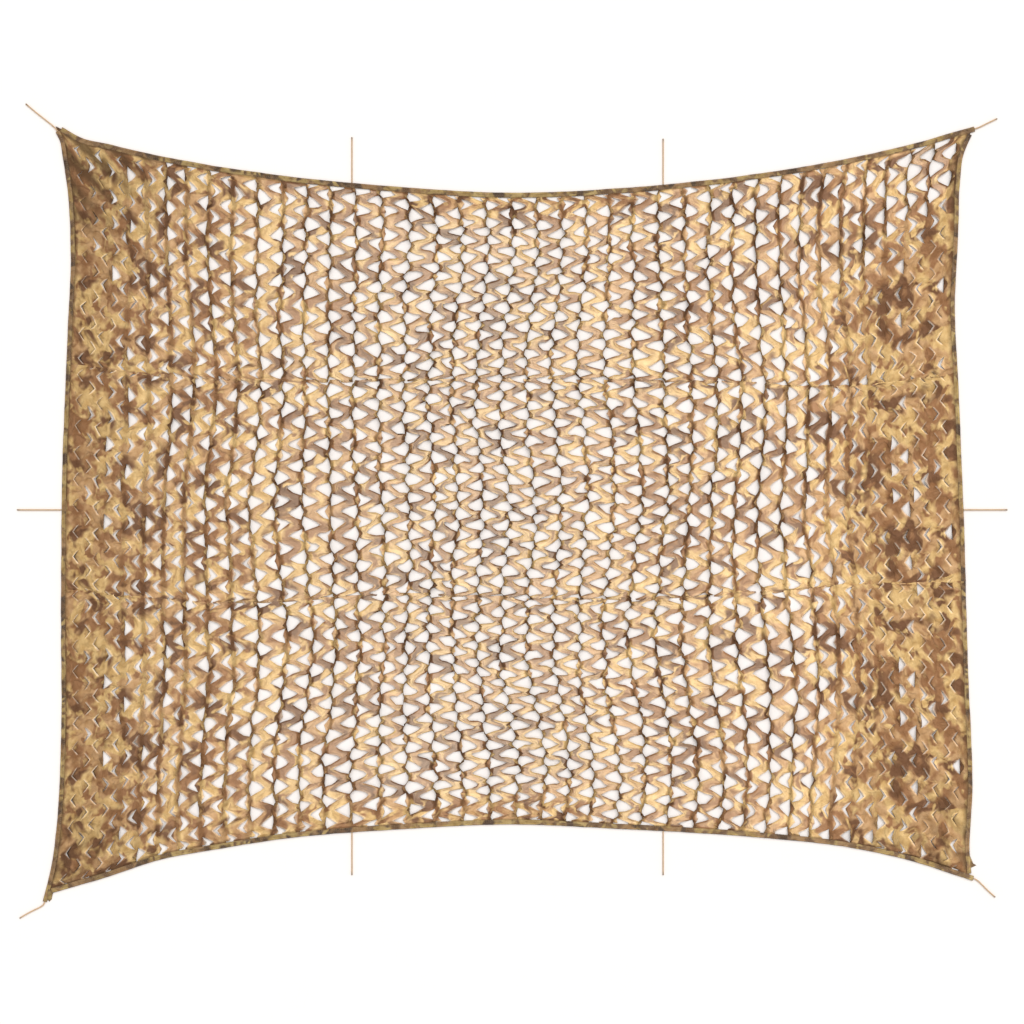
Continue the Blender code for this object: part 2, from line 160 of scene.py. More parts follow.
class SmoothLine:
    """A smooth line through a table of places and levels."""

    def __init__(self, rows: Rows) -> None:
        """Keep the table and its slopes.

        Args:
            rows: (place, level) rows in growing order of place.
        """
        table = np.array(rows)
        self.places, self.levels = table[:, 0], table[:, 1]
        self.slopes = np.gradient(self.levels, self.places)

    def read(self, along: Array) -> tuple[Array, Array]:
        """Read the line.

        Args:
            along: places to read at.

        Returns:
            The levels and the slopes there.
        """
        index = np.clip(np.searchsorted(self.places, along) - 1, 0, len(self.places) - 2)
        span = self.places[index + 1] - self.places[index]
        share = (along - self.places[index]) / span
        start = self.levels[index]
        rise = self.levels[index + 1] - start
        pull_in, pull_out = self.slopes[index] * span, self.slopes[index + 1] * span
        bend = pull_in + pull_out - 2.0 * rise
        turn = 3.0 * rise - 2.0 * pull_in - pull_out
        level = start + pull_in * share + turn * share ** 2 + bend * share ** 3
        slope = (pull_in + 2.0 * turn * share + 3.0 * bend * share ** 2) / span
        return level, slope


@dataclass(frozen=True)
class Edge:
    """One edge of the net: its outer line, which way is inwards and its binding's width."""

    line: SmoothLine
    lengthways: bool
    inwards: float
    width: float

    def level(self, along: Array, inset: Array | float = 0.0) -> Array:
        """Return the inset line's across value at places along the edge."""
        level, slope = self.line.read(along)
        return level + self.inwards * inset * np.hypot(1.0, slope)

    def point(self, along: Array | float, inset: Array | float, height: Array | float) -> Array:
        """Place points on the sections that stand square to the outer line.

        Args:
            along: places along the edge.
            inset: distances inwards from the outer line.
            height: heights above the ground.

        Returns:
            Points in the table's frame, with X, Y and Z in the last axis.
        """
        along = np.asarray(along, float)
        level, slope = self.line.read(along)
        shift = self.inwards * inset / np.hypot(1.0, slope)
        place, across = along - shift * slope, level + shift
        pair = (place, across) if self.lengthways else (across, place)
        return np.stack(np.broadcast_arrays(*pair, height), axis=-1)

    def direction(self, along: float) -> Array:
        """Return the line's unit direction towards growing places.

        Args:
            along: the place along the edge.

        Returns:
            The direction, in X, Y and Z.
        """
        slope = float(self.line.read(np.array(along))[1])
        way = np.array((1.0, slope, 0.0) if self.lengthways else (slope, 1.0, 0.0))
        return way / np.linalg.norm(way)

    def meets(self, along: float, inset: float, other: "Edge") -> float:
        """Find where this edge's inset corner stands clear of another edge's binding.

        Args:
            along: a first guess of the place.
            inset: inset of the corner that has to stand clear.
            other: the edge whose binding it butts against.

        Returns:
            The place along this edge.
        """
        reach = other.width + BUTT_GAP
        for _ in range(BUTT_ROUNDS):
            corner = self.point(along, inset, 0.0)
            place, across = corner[:2] if self.lengthways else corner[1::-1]
            along += float(other.level(np.array(across), reach)) - place
        return along


EDGES: dict[Side, Edge] = {
    Side.TOP: Edge(SmoothLine(TOP_LINE), True, -1.0, LONG_BINDING_WIDTH),
    Side.BOTTOM: Edge(SmoothLine(BOTTOM_LINE), True, 1.0, LONG_BINDING_WIDTH),
    Side.LEFT: Edge(SmoothLine(LEFT_LINE), False, 1.0, SHORT_BINDING_WIDTH),
    Side.RIGHT: Edge(SmoothLine(RIGHT_LINE), False, -1.0, SHORT_BINDING_WIDTH),
}
SEAMS = {"upper_seam": SmoothLine(UPPER_SEAM), "lower_seam": SmoothLine(LOWER_SEAM)}


class Ripples:
    """A smooth random field made of sine waves in random directions."""

    limit = 1.5

    def __init__(self, seed: int, waves: int, shortest: float, longest: float) -> None:
        """Draw the waves.

        Args:
            seed: seed of the draw.
            waves: how many waves are added.
            shortest: shortest wave length.
            longest: longest wave length.
        """
        draw = np.random.default_rng(seed)
        turn = draw.uniform(0.0, 2.0 * math.pi, waves)
        pace = 2.0 * math.pi / draw.uniform(shortest, longest, waves)
        self.across, self.up = pace * np.cos(turn), pace * np.sin(turn)
        self.phase = draw.uniform(0.0, 2.0 * math.pi, waves)

    def read(self, x: Array, y: Array) -> Array:
        """Return the field, mostly between -1 and 1, at the given points.

        Args:
            x: places across the net.
            y: places up the net.

        Returns:
            The field's levels.
        """
        total = np.zeros(np.shape(x))
        for across, up, phase in zip(self.across, self.up, self.phase):
            total += np.sin(across * x + up * y + phase)
        return np.clip(total / math.sqrt(2.0 * len(self.phase)), -self.limit, self.limit)


# ---- Node trees ----------------------------------------------------------------------------

MIX_FACTOR, MIX_FIRST, MIX_SECOND, MIX_RESULT = 0, 6, 7, 2    # a Mix node's colour sockets


class Clouds(NamedTuple):
    """Sizes of a noise texture."""

    scale: float
    detail: float = 2.0
    roughness: float = 0.5
    distortion: float = 0.0


class Reading(NamedTuple):
    """How a value is read: from start at low to stop at high, and held beyond."""

    low: float
    high: float
    start: float = 0.0
    stop: float = 1.0


class Relief(NamedTuple):
    """How strong and how deep, in metres, a surface's bumps are."""

    strength: float
    depth: float


class NodeWriter:
    """Short hand for adding and linking nodes in one tree."""

    def __init__(self, tree: bpy.types.NodeTree) -> None:
        """Keep the tree that nodes are added to."""
        self.tree = tree

    def add(self, kind: str, values: dict | None = None, **settings: object) -> bpy.types.Node:
        """Add a node.

        Args:
            kind: the node's type.
            values: input sockets by name or index, each a number, colour or another socket.
            settings: the node's own properties.

        Returns:
            The new node.
        """
        node = self.tree.nodes.new(kind)
        for name, value in settings.items():
            setattr(node, name, value)
        self.fill(node, values or {})
        return node

    def fill(self, node: bpy.types.Node, values: dict) -> None:
        """Fill a node's input sockets.

        Args:
            node: the node.
            values: input sockets by name or index, each a number, colour or another socket.
        """
        for name, value in values.items():
            if isinstance(value, Socket):
                self.tree.links.new(value, node.inputs[name])
            else:
                node.inputs[name].default_value = value

    def out(self, kind: str, values: dict | None = None, **settings: object) -> Socket:
        """Add a node and return its first output."""
        return self.add(kind, values, **settings).outputs[0]

    def math(self, operation: str, first: object, second: object = 0.0) -> Socket:
        """Add a Math node and return its result."""
        return self.out("ShaderNodeMath", {0: first, 1: second}, operation=operation)

    def ramp(self, value: Socket, reading: Reading) -> Socket:
        """Add a Map Range node and return its result."""
        sizes = dict(zip(("From Min", "From Max", "To Min", "To Max"), reading))
        return self.out("ShaderNodeMapRange", {"Value": value, **sizes}, clamp=True)

    def mix(self, factor: object, first: object, second: object, blend: str = "MIX") -> Socket:
        """Add a colour Mix node and return its result.

        Args:
            factor: how much of the second colour shows.
            first: the first colour.
            second: the second colour.
            blend: the node's way of blending.

        Returns:
            The mixed colour.
        """
        node = self.add("ShaderNodeMix", {MIX_FACTOR: factor, MIX_FIRST: first,
                        MIX_SECOND: second}, data_type="RGBA", blend_type=blend)
        return node.outputs[MIX_RESULT]

    def noise(self, place: Socket, clouds: Clouds) -> Socket:
        """Add a Noise Texture and return its factor."""
        sizes = dict(zip(("Scale", "Detail", "Roughness", "Distortion"), clouds))
        return self.out("ShaderNodeTexNoise", {"Vector": place, **sizes})

    def bump(self, height: Socket, relief: Relief) -> Socket:
        """Add a Bump node and return its result."""
        return self.out("ShaderNodeBump", {"Height": height, "Strength": relief.strength,
                                           "Distance": relief.depth})


def opaque(colour: Colour) -> tuple[float, float, float, float]:
    """Return the colour with full alpha."""
    return (*colour, 1.0)


def start_material(name: str) -> tuple[bpy.types.Material, NodeWriter, bpy.types.Node]:
    """Make an empty node material.

    Args:
        name: the material's name.

    Returns:
        The material, its node writer and its Principled shader.
    """
    material = bpy.data.materials.new(name)
    material.use_nodes = True
    return material, NodeWriter(material.node_tree), material.node_tree.nodes["Principled BSDF"]


class PrintedTone(NamedTuple):
    """One printed tone of the camouflage, laid over those before it."""

    colour: str
    offset: float
    scale: float
    level: float
    soft: float


PRINTED_TONES = (
    #           colour  offset scale level  soft edge
    PrintedTone("brown", 3.1, 8.8, 0.510, 0.036),
    PrintedTone("ochre", 11.7, 8.6, 0.540, 0.036),
    PrintedTone("dark", 23.9, 9.8, 0.570, 0.036),
    PrintedTone("brown", 41.3, 18.0, 0.615, 0.040),
    PrintedTone("ochre", 57.7, 16.5, 0.620, 0.040),
)
OFFSET_ACROSS = (1.0, 0.7, 1.3)    # how a tone's offset moves it along each axis
PAINTED_LIGHT_SHADE = -0.55               # painted light at its fullest, on cloth pulled fully taut; slack cloth's shade is 0
LIP_HIGHLIGHT_SHADE = -1.0                  # the shade of lips with the brightest painted highlight
LIP_HIGHLIGHT_FROM = -0.30                # the shade from which that painted highlight shows


@dataclass(frozen=True)
class ClothPrint:
    """Coated polyester with a four-tone desert print, in flat cloth coordinates.

    Its points' shade paints light on the cloth below 0 and paints shade on it above.
    """

    tan: Colour = (0.432, 0.262, 0.130)
    brown: Colour = (0.258, 0.130, 0.060)
    ochre: Colour = (0.550, 0.374, 0.166)
    dark: Colour = (0.145, 0.070, 0.035)
    # The next two are the tones that painted light and painted shade turn the cloth towards.
    pale: Colour = (0.840, 0.728, 0.595)
    shadow: Colour = (0.070, 0.036, 0.014)
    # The coating's random tone, with painted shade in the hollows and painted light on the
    # crests of the bumps raised from the same mottle.
    damp: Colour = (0.80, 0.70, 0.56)
    dry: Colour = (1.12, 1.11, 1.09)
    # Painted light: the net is painted lighter towards +X, as if more light fell on that side.
    less_sun: Colour = (0.96, 0.97, 0.99)
    more_sun: Colour = (1.19, 1.21, 1.25)
    sun_reach: Reading = Reading(-1.9, 1.9)
    blob_detail: tuple[float, float, float] = (2.0, 0.45, 0.5)
    mottle: Clouds = Clouds(30.0, 3.0, 0.50, 0.2)
    mottle_reading: Reading = Reading(0.32, 0.68)
    creases: Clouds = Clouds(15.0, 2.0, 0.50, 0.4)
    crease_middle: float = 0.5
    # Painted shade in the creases.
    crease_grime: Reading = Reading(0.0, 0.055, 0.15, 0.0)
    crease_height: Reading = Reading(0.0, 0.11, 0.0, 1.8)
    crinkles: Clouds = Clouds(75.0, 4.0, 0.6)
    mottle_height: float = 3.0
    thread_pitch: float = 0.0016
    thread_height: float = 0.05
    relief: Relief = Relief(0.70, 0.0040)
    roughness: Reading = Reading(0.3, 0.7, 0.66, 0.82)
    sheen: float = 0.03
    sheen_roughness: float = 0.5
    specular: float = 0.15
    # Painted highlight on the lips, painted light on cloth pulled taut, and painted shade on
    # folded cloth, down to the deepest shadow.
    fading: float = 0.72
    stretched: float = 1.56
    washed: float = 0.09
    deepest_shadow: float = 0.80

    def build(self, name: str, blob_scale: float = 1.0) -> bpy.types.Material:
        """Build the material.

        Args:
            name: the material's name.
            blob_scale: how much smaller the printed shapes are than on the wide cloth.

        Returns:
            The material.
        """
        material, write, shader = start_material(name)
        flat = write.out("ShaderNodeUVMap", uv_map="flat")
        mottle = write.noise(flat, self.mottle)
        crease = write.math("ABSOLUTE", write.math(
            "SUBTRACT", write.noise(flat, self.creases), self.crease_middle))
        colour = self._printed(write, flat, blob_scale)
        colour = self._aged(write, colour, mottle, crease)
        write.fill(shader, {
            "Base Color": self._pulled(write, colour),
            "Roughness": write.ramp(mottle, self.roughness),
            "Normal": self._weave(write, flat, mottle, crease),
            "Sheen Weight": self.sheen,
            "Sheen Roughness": self.sheen_roughness,
            "Specular IOR Level": self.specular,
        })
        return material

    def _printed(self, write: NodeWriter, flat: Socket, blob_scale: float) -> Socket:
        """Print the camouflage.

        Args:
            write: writer of the material's tree.
            flat: flat cloth coordinates.
            blob_scale: how much smaller the printed shapes are than on the wide cloth.

        Returns:
            The printed colour.
        """
        colour = opaque(self.tan)
        for tone in PRINTED_TONES:
            offset = tuple(tone.offset * across for across in OFFSET_ACROSS)
            moved = write.out("ShaderNodeMapping", {"Vector": flat, "Location": offset})
            cloud = write.noise(moved, Clouds(tone.scale * blob_scale, *self.blob_detail))
            mask = write.ramp(cloud, Reading(tone.level - tone.soft, tone.level + tone.soft))
            colour = write.mix(mask, colour, opaque(getattr(self, tone.colour)))
        return colour

    def _aged(self, write: NodeWriter, colour: Socket, mottle: Socket,
              crease: Socket) -> Socket:
        """Mottle the print with painted shade and light that follow its bumps, paint shade in
        its creases and paint the net lighter towards +X.

        Args:
            write: writer of the material's tree.
            colour: the printed colour.
            mottle: slow mottling of the coating.
            crease: distance to the coating's creases.

        Returns:
            The aged colour.
        """
        # Random tone, with painted shade in the bumps' hollows and painted light on their
        # crests.
        wash = write.mix(write.ramp(mottle, self.mottle_reading), opaque(self.damp),
                         opaque(self.dry))
        colour = write.mix(1.0, colour, wash, "MULTIPLY")
        # Painted shade in the creases, where the bump sinks.
        colour = write.mix(write.ramp(crease, self.crease_grime), colour, opaque(self.shadow))
        # Painted light: lighter towards +X.
        place = write.add("ShaderNodeTexCoord").outputs["Object"]
        across = write.out("ShaderNodeSeparateXYZ", {0: place})
        side_light = write.mix(write.ramp(across, self.sun_reach), opaque(self.less_sun),
                           opaque(self.more_sun))
        return write.mix(1.0, colour, side_light, "MULTIPLY")

    def _pulled(self, write: NodeWriter, colour: Socket) -> Socket:
        """Paint light on taut cloth and highlights on the lips, and paint shade on folded cloth,
        as its points' shade says.

        Args:
            write: writer of the material's tree.
            colour: the aged colour.

        Returns:
            The cloth's colour.
        """
        shade = write.add("ShaderNodeAttribute", attribute_name="shade").outputs["Fac"]
        # Painted light on cloth pulled taut, brighter and paler, and a painted highlight on the
        # lips.
        light_gain = write.ramp(shade, Reading(PAINTED_LIGHT_SHADE, 0.0, self.stretched, 1.0))
        brighter = write.out("ShaderNodeCombineColor", {0: light_gain, 1: light_gain, 2: light_gain})
        colour = write.mix(1.0, colour, brighter, "MULTIPLY")
        for reading in (Reading(PAINTED_LIGHT_SHADE, 0.0, self.washed, 0.0),
                        Reading(LIP_HIGHLIGHT_SHADE, LIP_HIGHLIGHT_FROM, self.fading, 0.0)):
            colour = write.mix(write.ramp(shade, reading), colour, opaque(self.pale))
        # Painted shade on folded and shadowed cloth.
        shade_mix = write.ramp(shade, Reading(0.0, 1.0, 0.0, self.deepest_shadow))
        return write.mix(shade_mix, colour, opaque(self.shadow))

    def _weave(self, write: NodeWriter, flat: Socket, mottle: Socket, crease: Socket) -> Socket:
        """Raise the plain weave and the coating's crinkles and creases.

        Args:
            write: writer of the material's tree.
            flat: flat cloth coordinates.
            mottle: slow mottling of the coating.
            crease: distance to the coating's creases.

        Returns:
            The surface's normal.
        """
        split = write.add("ShaderNodeSeparateXYZ", {0: flat}).outputs
        pace = 2.0 * math.pi / self.thread_pitch
        warp, weft = (write.math("SINE", write.math("MULTIPLY", split[axis], pace))
                      for axis in range(2))
        threads = write.math("MULTIPLY", write.math("MULTIPLY", warp, weft), self.thread_height)
        fine = write.math("ADD", threads, write.noise(flat, self.crinkles))
        folds = write.math("ADD", write.math("MULTIPLY", mottle, self.mottle_height),
                           write.ramp(crease, self.crease_height))
        return write.bump(write.math("ADD", fine, folds), self.relief)


@dataclass(frozen=True)
class CordFinish:
    """Twisted undyed cord with a soiled cut end."""

    light: Colour = (0.620, 0.435, 0.265)
    deep: Colour = (0.430, 0.285, 0.160)
    end: Colour = (0.085, 0.052, 0.030)
    fibre_stretch: tuple[float, float, float] = (60.0, 900.0, 1.0)
    fibres: Clouds = Clouds(1.0, 3.0, 0.6)
    fibre_depth: Reading = Reading(0.3, 0.75)
    blotches: Clouds = Clouds(55.0)
    blotch_depth: Reading = Reading(0.45, 0.8, 0.0, 0.5)
    roughness: Reading = Reading(0.2, 0.8, 0.72, 0.92)
    relief: Relief = Relief(0.6, 0.0006)
    specular: float = 0.2

    def build(self, name: str) -> bpy.types.Material:
        """Build the material.

        Args:
            name: the material's name.

        Returns:
            The material.
        """
        material, write, shader = start_material(name)
        flat = write.out("ShaderNodeUVMap", uv_map="flat")
        worn = write.add("ShaderNodeAttribute", attribute_name="shade").outputs["Fac"]
        lengthways = write.out("ShaderNodeMapping", {"Vector": flat,
                               "Scale": self.fibre_stretch})
        fibre = write.noise(lengthways, self.fibres)
        colour = write.mix(write.ramp(fibre, self.fibre_depth), opaque(self.light),
                           opaque(self.deep))
        blotch = write.ramp(write.noise(flat, self.blotches), self.blotch_depth)
        colour = write.mix(blotch, colour, opaque(self.deep))
        write.fill(shader, {
            "Base Color": write.mix(worn, colour, opaque(self.end)),
            "Roughness": write.ramp(fibre, self.roughness),
            "Normal": write.bump(fibre, self.relief),
            "Specular IOR Level": self.specular,
        })
        return material


@dataclass(frozen=True)
class ThreadFinish:
    """Brown sewing thread with a faint twist."""

    colour: Colour = (0.26, 0.165, 0.075)
    pale: Colour = (0.37, 0.245, 0.125)
    plies: Clouds = Clouds(900.0)
    ply_depth: Reading = Reading(0.35, 0.7)
    roughness: Reading = Reading(0.2, 0.8, 0.45, 0.65)
    relief: Relief = Relief(0.3, 0.0002)

    def build(self, name: str) -> bpy.types.Material:
        """Build the material.

        Args:
            name: the material's name.

        Returns:
            The material.
        """
        material, write, shader = start_material(name)
        ply = write.noise(write.add("ShaderNodeTexCoord").outputs["Object"], self.plies)
        write.fill(shader, {
            "Base Color": write.mix(write.ramp(ply, self.ply_depth), opaque(self.colour),
                                    opaque(self.pale)),
            "Roughness": write.ramp(ply, self.roughness),
            "Normal": write.bump(ply, self.relief),
        })
        return material


# ---- Meshes --------------------------------------------------------------------------------


def link_new(name: str, data: bpy.types.ID) -> bpy.types.Object:
    """Make an object and link it into the scene.

    Args:
        name: its name.
        data: its mesh, curve, camera or light.

    Returns:
        The object.
    """
    piece = bpy.data.objects.new(name, data)
    bpy.context.scene.collection.objects.link(piece)
    return piece


def add_piece(name: str, points: Array, faces: Sequence[Sequence[int]], flat: Array,
              shade: Array, material: bpy.types.Material) -> bpy.types.Object:
    """Make a mesh object whose points are given in the table's frame.

    Args:
        name: the object's name.
        points: vertex places, one row each.
        faces: vertex numbers of each face, counter-clockwise from outside.
        flat: each vertex's place in the flat cloth, in metres.
        shade: each vertex's shade: on the cloth, above 0 painted shade and below 0 painted
            light; on a cord, its soiled cut end.
        material: its finish.

    Returns:
        The linked object, at the origin.
    """
    mesh = bpy.data.meshes.new(name)
    mesh.from_pydata((points - BOX_MIDDLE).tolist(), [], [list(face) for face in faces])
    corner = np.zeros(len(mesh.loops), np.int64)
    mesh.loops.foreach_get("vertex_index", corner)
    layer = mesh.uv_layers.new(name="flat")
    layer.data.foreach_set("uv", flat[corner].astype(np.float32).ravel())
    tone = mesh.attributes.new("shade", "FLOAT", "POINT")
    tone.data.foreach_set("value", shade.astype(np.float32))
    mesh.polygons.foreach_set("use_smooth", np.ones(len(mesh.polygons), bool))
    mesh.materials.append(material)
    mesh.update()
    return link_new(name, mesh)


def bake_modifiers(piece: bpy.types.Object) -> bpy.types.Object:
    """Turn a piece's evaluated shape into its own plain mesh and drop its modifiers.

    Args:
        piece: a mesh or curve object with modifiers.

    Returns:
        The mesh object, a new one in a curve's place.
    """
    bpy.context.view_layer.update()
    shape = piece.evaluated_get(bpy.context.evaluated_depsgraph_get())
    mesh = bpy.data.meshes.new_from_object(shape)
    mesh.name = piece.name
    if piece.type == "MESH":
        piece.modifiers.clear()
        piece.data = mesh
        return piece
    plain = link_new(piece.name + "_mesh", mesh)
    bpy.data.objects.remove(piece)
    return plain


def thicken(piece: bpy.types.Object, thickness: float) -> bpy.types.Object:
    """Give a piece of cloth its thickness, half on either side.

    Args:
        piece: the cloth's mid surface.
        thickness: its thickness.

    Returns:
        The finished piece.
    """
    solid = piece.modifiers.new("thickness", "SOLIDIFY")
    solid.thickness = thickness
    solid.offset = 0.0
    return bake_modifiers(piece)


def tube_quads(first: int, rings: int, size: int) -> list[tuple[int, ...]]:
    """Return the quads between rings of vertices.

    Args:
        first: number of the first ring's first vertex.
        rings: how many rings there are.
        size: how many vertices each has.

    Returns:
        The quads' vertex numbers.
    """
    quads = []
    for ring in range(first, first + (rings - 1) * size, size):
        for corner in range(size):
            after = (corner + 1) % size
            quads.append((ring + corner, ring + after, ring + size + after,
                          ring + size + corner))
    return quads


def running_length(points: Array) -> Array:
    """Return how far along a line of points each one lies."""
    steps = np.linalg.norm(np.diff(points, axis=0), axis=1)
    return np.concatenate(([0.0], np.cumsum(steps)))


def count_triangles(piece: bpy.types.Object) -> int:
    """Return how many triangles a mesh piece has."""
    return sum(len(face.vertices) - 2 for face in piece.data.polygons)


# ---- Slit cloth ----------------------------------------------------------------------------

COLUMNS = 76                # columns of slits and the two borders
SOURCE_COLUMNS = 38         # the part's source shows every second one
FLAT_COLUMN = 0.049         # column to column in the flat cloth
FLAT_ROW = 0.105            # slit to slit up one column of the flat cloth
NARROW_STEP = 0.094
WIDE_STEP = 0.118
WIDEST_FROM = 0.304         # share of open area from which the columns are widest
FULLY_OPEN = 0.38
STEPS = 5                   # mesh rows in half a slit pitch
SLIT_STEPS = 3              # of which this many lie along the slit
SLIT_REACH = 0.62           # half of a slit, in half pitches
SLIT_INSIDE = 0.99          # share of that reach within which its lips are apart
SLIT_SHUT = 0.306           # half depth of a shut slit, in columns
SPINE_HALF_GAP = 0.180      # how much further its fold stands back where the net is open
SWAY = 0.19                 # how far the spines weave from side to side there
SPINE_KINK = 0.070          # how far their small kinks reach
SAME_PLACE = 1e-9           # heights closer than this are one, in half pitches
SMALLEST = 1e-6             # shortest length that is divided by
LIP_FRAY = 0.0030           # how uneven the cut lips are where they are pulled
LIP_HIGHLIGHT_SHUT = 0.95             # how strong the lips' painted highlight is where the net is shut
# Painted shadow that the bindings cast on the cloth beside them.
BINDING_SHADOW = 0.55
EDGE_REACH = 2.0            # how far to either side the tables below are read
PLACE_ROUNDS = 8            # rounds that find a place inside the curved outline
BORDER_ROW = 0.27           # share of a half row that a seam or a binding takes up
SEAM_LAP = 0.005
SEAM_WANDER = 0.0045        # how far a seam wanders off its line
SEAM_OVER = 0.0013          # how much higher the width that lies on top of it is
SEAM_TOP = 0.0034           # height of its stitches
DRAWN_ROWS = 32             # rows of random numbers for every column
LEAF_LINES = (0.0, 0.21, 0.5, 0.79, 1.0)    # mesh columns across a wide strip
LIP_LEVELS = (1.0, 0.28, 0.0, 0.28, 1.0)    # how far each one follows the lifted lips
SPINE_LINES = (0.0, 0.5, 1.0)               # mesh columns across a narrow strip
HEM_LINES = (0.0, 1.0)                      # and across a strip inside a side binding

PITCH_PROFILE: Rows = (
    # x     slit to slit up the net; the cloth draws in where its slits are pulled open
    (-1.83, 0.113), (-1.47, 0.106), (-1.12, 0.102), (-0.76, 0.096), (-0.59, 0.090),
    (-0.23, 0.081), (0.03, 0.0755), (0.39, 0.081), (0.65, 0.085), (0.83, 0.093),
    (1.01, 0.107), (1.19, 0.118), (1.40, 0.120), (1.72, 0.115),
)
OPEN_PROFILE: Rows = (
    # x      share of open area
    (-1.84, 0.00), (-1.72, 0.07), (-1.55, 0.13), (-1.36, 0.165), (-1.20, 0.21), (-1.00, 0.27),
    (-0.75, 0.30), (-0.50, 0.34), (-0.25, 0.375), (0.10, 0.37), (0.45, 0.32), (0.80, 0.275),
    (1.10, 0.265), (1.30, 0.25), (1.43, 0.12), (1.58, 0.03), (1.75, 0.00),
)
COLUMN_PROFILE: Rows = (
    # x      share of open area by which the columns are spread
    (-1.75, 0.00), (-1.30, 0.10), (-1.05, 0.21), (-0.60, 0.32), (0.00, 0.38), (0.50, 0.33),
    (0.80, 0.24), (1.12, 0.195), (1.40, 0.05), (1.65, 0.00),
)


class OpenPatch(NamedTuple):
    """A place where the slits gape more than their neighbours."""

    x: float
    y: float
    reach: float
    share: float


OPEN_PATCHES = (
    #         x      y      reach  share
    OpenPatch(1.86, 1.52, 0.24, 0.40),
    OpenPatch(-1.86, 1.62, 0.12, 0.12),
    OpenPatch(1.62, 1.42, 0.34, 0.24),
    OpenPatch(1.50, 1.14, 0.26, 0.17),
    OpenPatch(1.60, -1.45, 0.26, 0.05),
)
PATCH_RISE = 1.6            # how steeply the opening rises to a patch's share


class ShutBand(NamedTuple):
    """A stretch along an edge where the slits stay nearly shut."""

    side: Side
    start: float
    stop: float
    reach: float
    share: float


SHUT_BANDS = (
    #        side         start  stop   reach  share
    ShutBand(Side.TOP, -0.60, 0.66, 0.13, 0.55),
    ShutBand(Side.BOTTOM, -1.45, 0.42, 0.15, 0.50),
)
BAND_FADE = 0.15            # length over which a band starts and stops
BAND_DEPTH = Rising(1.6, -1.3)    # how fully it holds, by the distance from its edge


class Corner(NamedTuple):
    """A pulled corner of the net, where the cloth bunches into folds."""

    x: float
    y: float
    gloom: float

    def away(self, x: Array, y: Array) -> tuple[Array, Array]:
        """Return how far places are from the corner, along X and Y."""
        return x - self.x, y - self.y


CORNERS = (
    #           x      y      painted shade
    Corner(-2.00, 1.65, 1.45),
    Corner(2.02, 1.66, 0.20),
    Corner(-2.04, -1.68, 0.50),
    Corner(2.02, -1.63, 0.70),
)
CORNER_PLEAT = 0.115        # fold to fold in the pulled corners
FOLD_REACH = 0.55           # how far the folds run
FOLD_HEIGHT = 0.0085
PAINTED_SHADE_REACH = 0.40          # how far the painted shade of the bunched cloth reaches
PAINTED_SHADE_BETWEEN = Rising(0.55, -0.50)    # how deep that painted shade is, least on top of a fold


def open_share(x: Array, y: Array) -> Array:
    """Return the share of open area in the slit cloth.

    Args:
        x: places across the net.
        y: places up the net.

    Returns:
        The shares, 0 to 1.
    """
    share = read_rows(OPEN_PROFILE, x)
    for band in SHUT_BANDS:
        edge = EDGES[band.side]
        away = np.abs(edge.level(np.clip(x, -EDGE_REACH, EDGE_REACH)) - y) / band.reach
        along = unit(np.minimum(x - band.start, band.stop - x) / BAND_FADE)
        share *= 1.0 - along * (1.0 - band.share) * unit(BAND_DEPTH.at(away))
    for patch in OPEN_PATCHES:
        away = np.hypot(x - patch.x, y - patch.y) / patch.reach
        share = np.maximum(share, patch.share * unit(PATCH_RISE * (1.0 - away)))
    return share


def openness(x: Array, y: Array) -> Array:
    """Return how far the net is pulled open, 0 to 1."""
    return unit(open_share(x, y) / FULLY_OPEN)


def column_shares() -> Array:
    """Return the place of every second column across the net, 0 to 1.

    Returns:
        The places, one more than there are steps.
    """
    spread = np.linspace(-EDGE_REACH, EDGE_REACH, SOURCE_COLUMNS)
    opening = read_rows(COLUMN_PROFILE, spread) / WIDEST_FROM
    steps = NARROW_STEP + (WIDE_STEP - NARROW_STEP) * np.minimum(1.0, opening)
    return np.concatenate(([0.0], np.cumsum(steps))) / np.sum(steps)


def corner_ripple(away_x: Array, away_y: Array) -> Array:
    """Return the wave of folds that run out of a corner, 1 on top of a fold."""
    return np.cos(2.0 * math.pi * (np.abs(away_x) - np.abs(away_y)) / CORNER_PLEAT)


def corner_fold(x: Array, y: Array) -> Array:
    """Return the height of the soft folds that run out of the net's pulled corners.

    Args:
        x: places across the net.
        y: places up the net.

    Returns:
        The heights.
    """
    height = np.zeros(np.shape(x))
    for corner in CORNERS:
        away = corner.away(x, y)
        fade = np.sin(math.pi * unit(np.hypot(*away) / FOLD_REACH))
        height += FOLD_HEIGHT * fade * np.maximum(0.0, corner_ripple(*away))
    return height


def corner_painted_shade(x: Array, y: Array) -> Array:
    """Return the painted shade on the bunched cloth near the pulled corners, most between its
    folds.

    Args:
        x: places across the net.
        y: places up the net.

    Returns:
        What is added to the cloth's shade.
    """
    gloom = np.zeros(np.shape(x))
    for corner in CORNERS:
        away_x, away_y = corner.away(x, y)
        near = np.exp(-(away_x ** 2 + away_y ** 2) / PAINTED_SHADE_REACH ** 2)
        gloom += corner.gloom * near * PAINTED_SHADE_BETWEEN.at(corner_ripple(away_x, away_y))
    return gloom


class Draws(NamedTuple):
    """Random numbers of every slit: how far it opens and how its tongue curls."""

    opening: Array
    curl: Array
    rise: Array
    twist: Array
    tip: Array


def draw_slits(seed: int) -> Draws:
    """Draw the numbers once for all widths, which come off the same roll."""
    draw = np.random.default_rng(seed)
    return Draws(*(draw.random((COLUMNS + 1, DRAWN_ROWS)) for _ in Draws._fields))


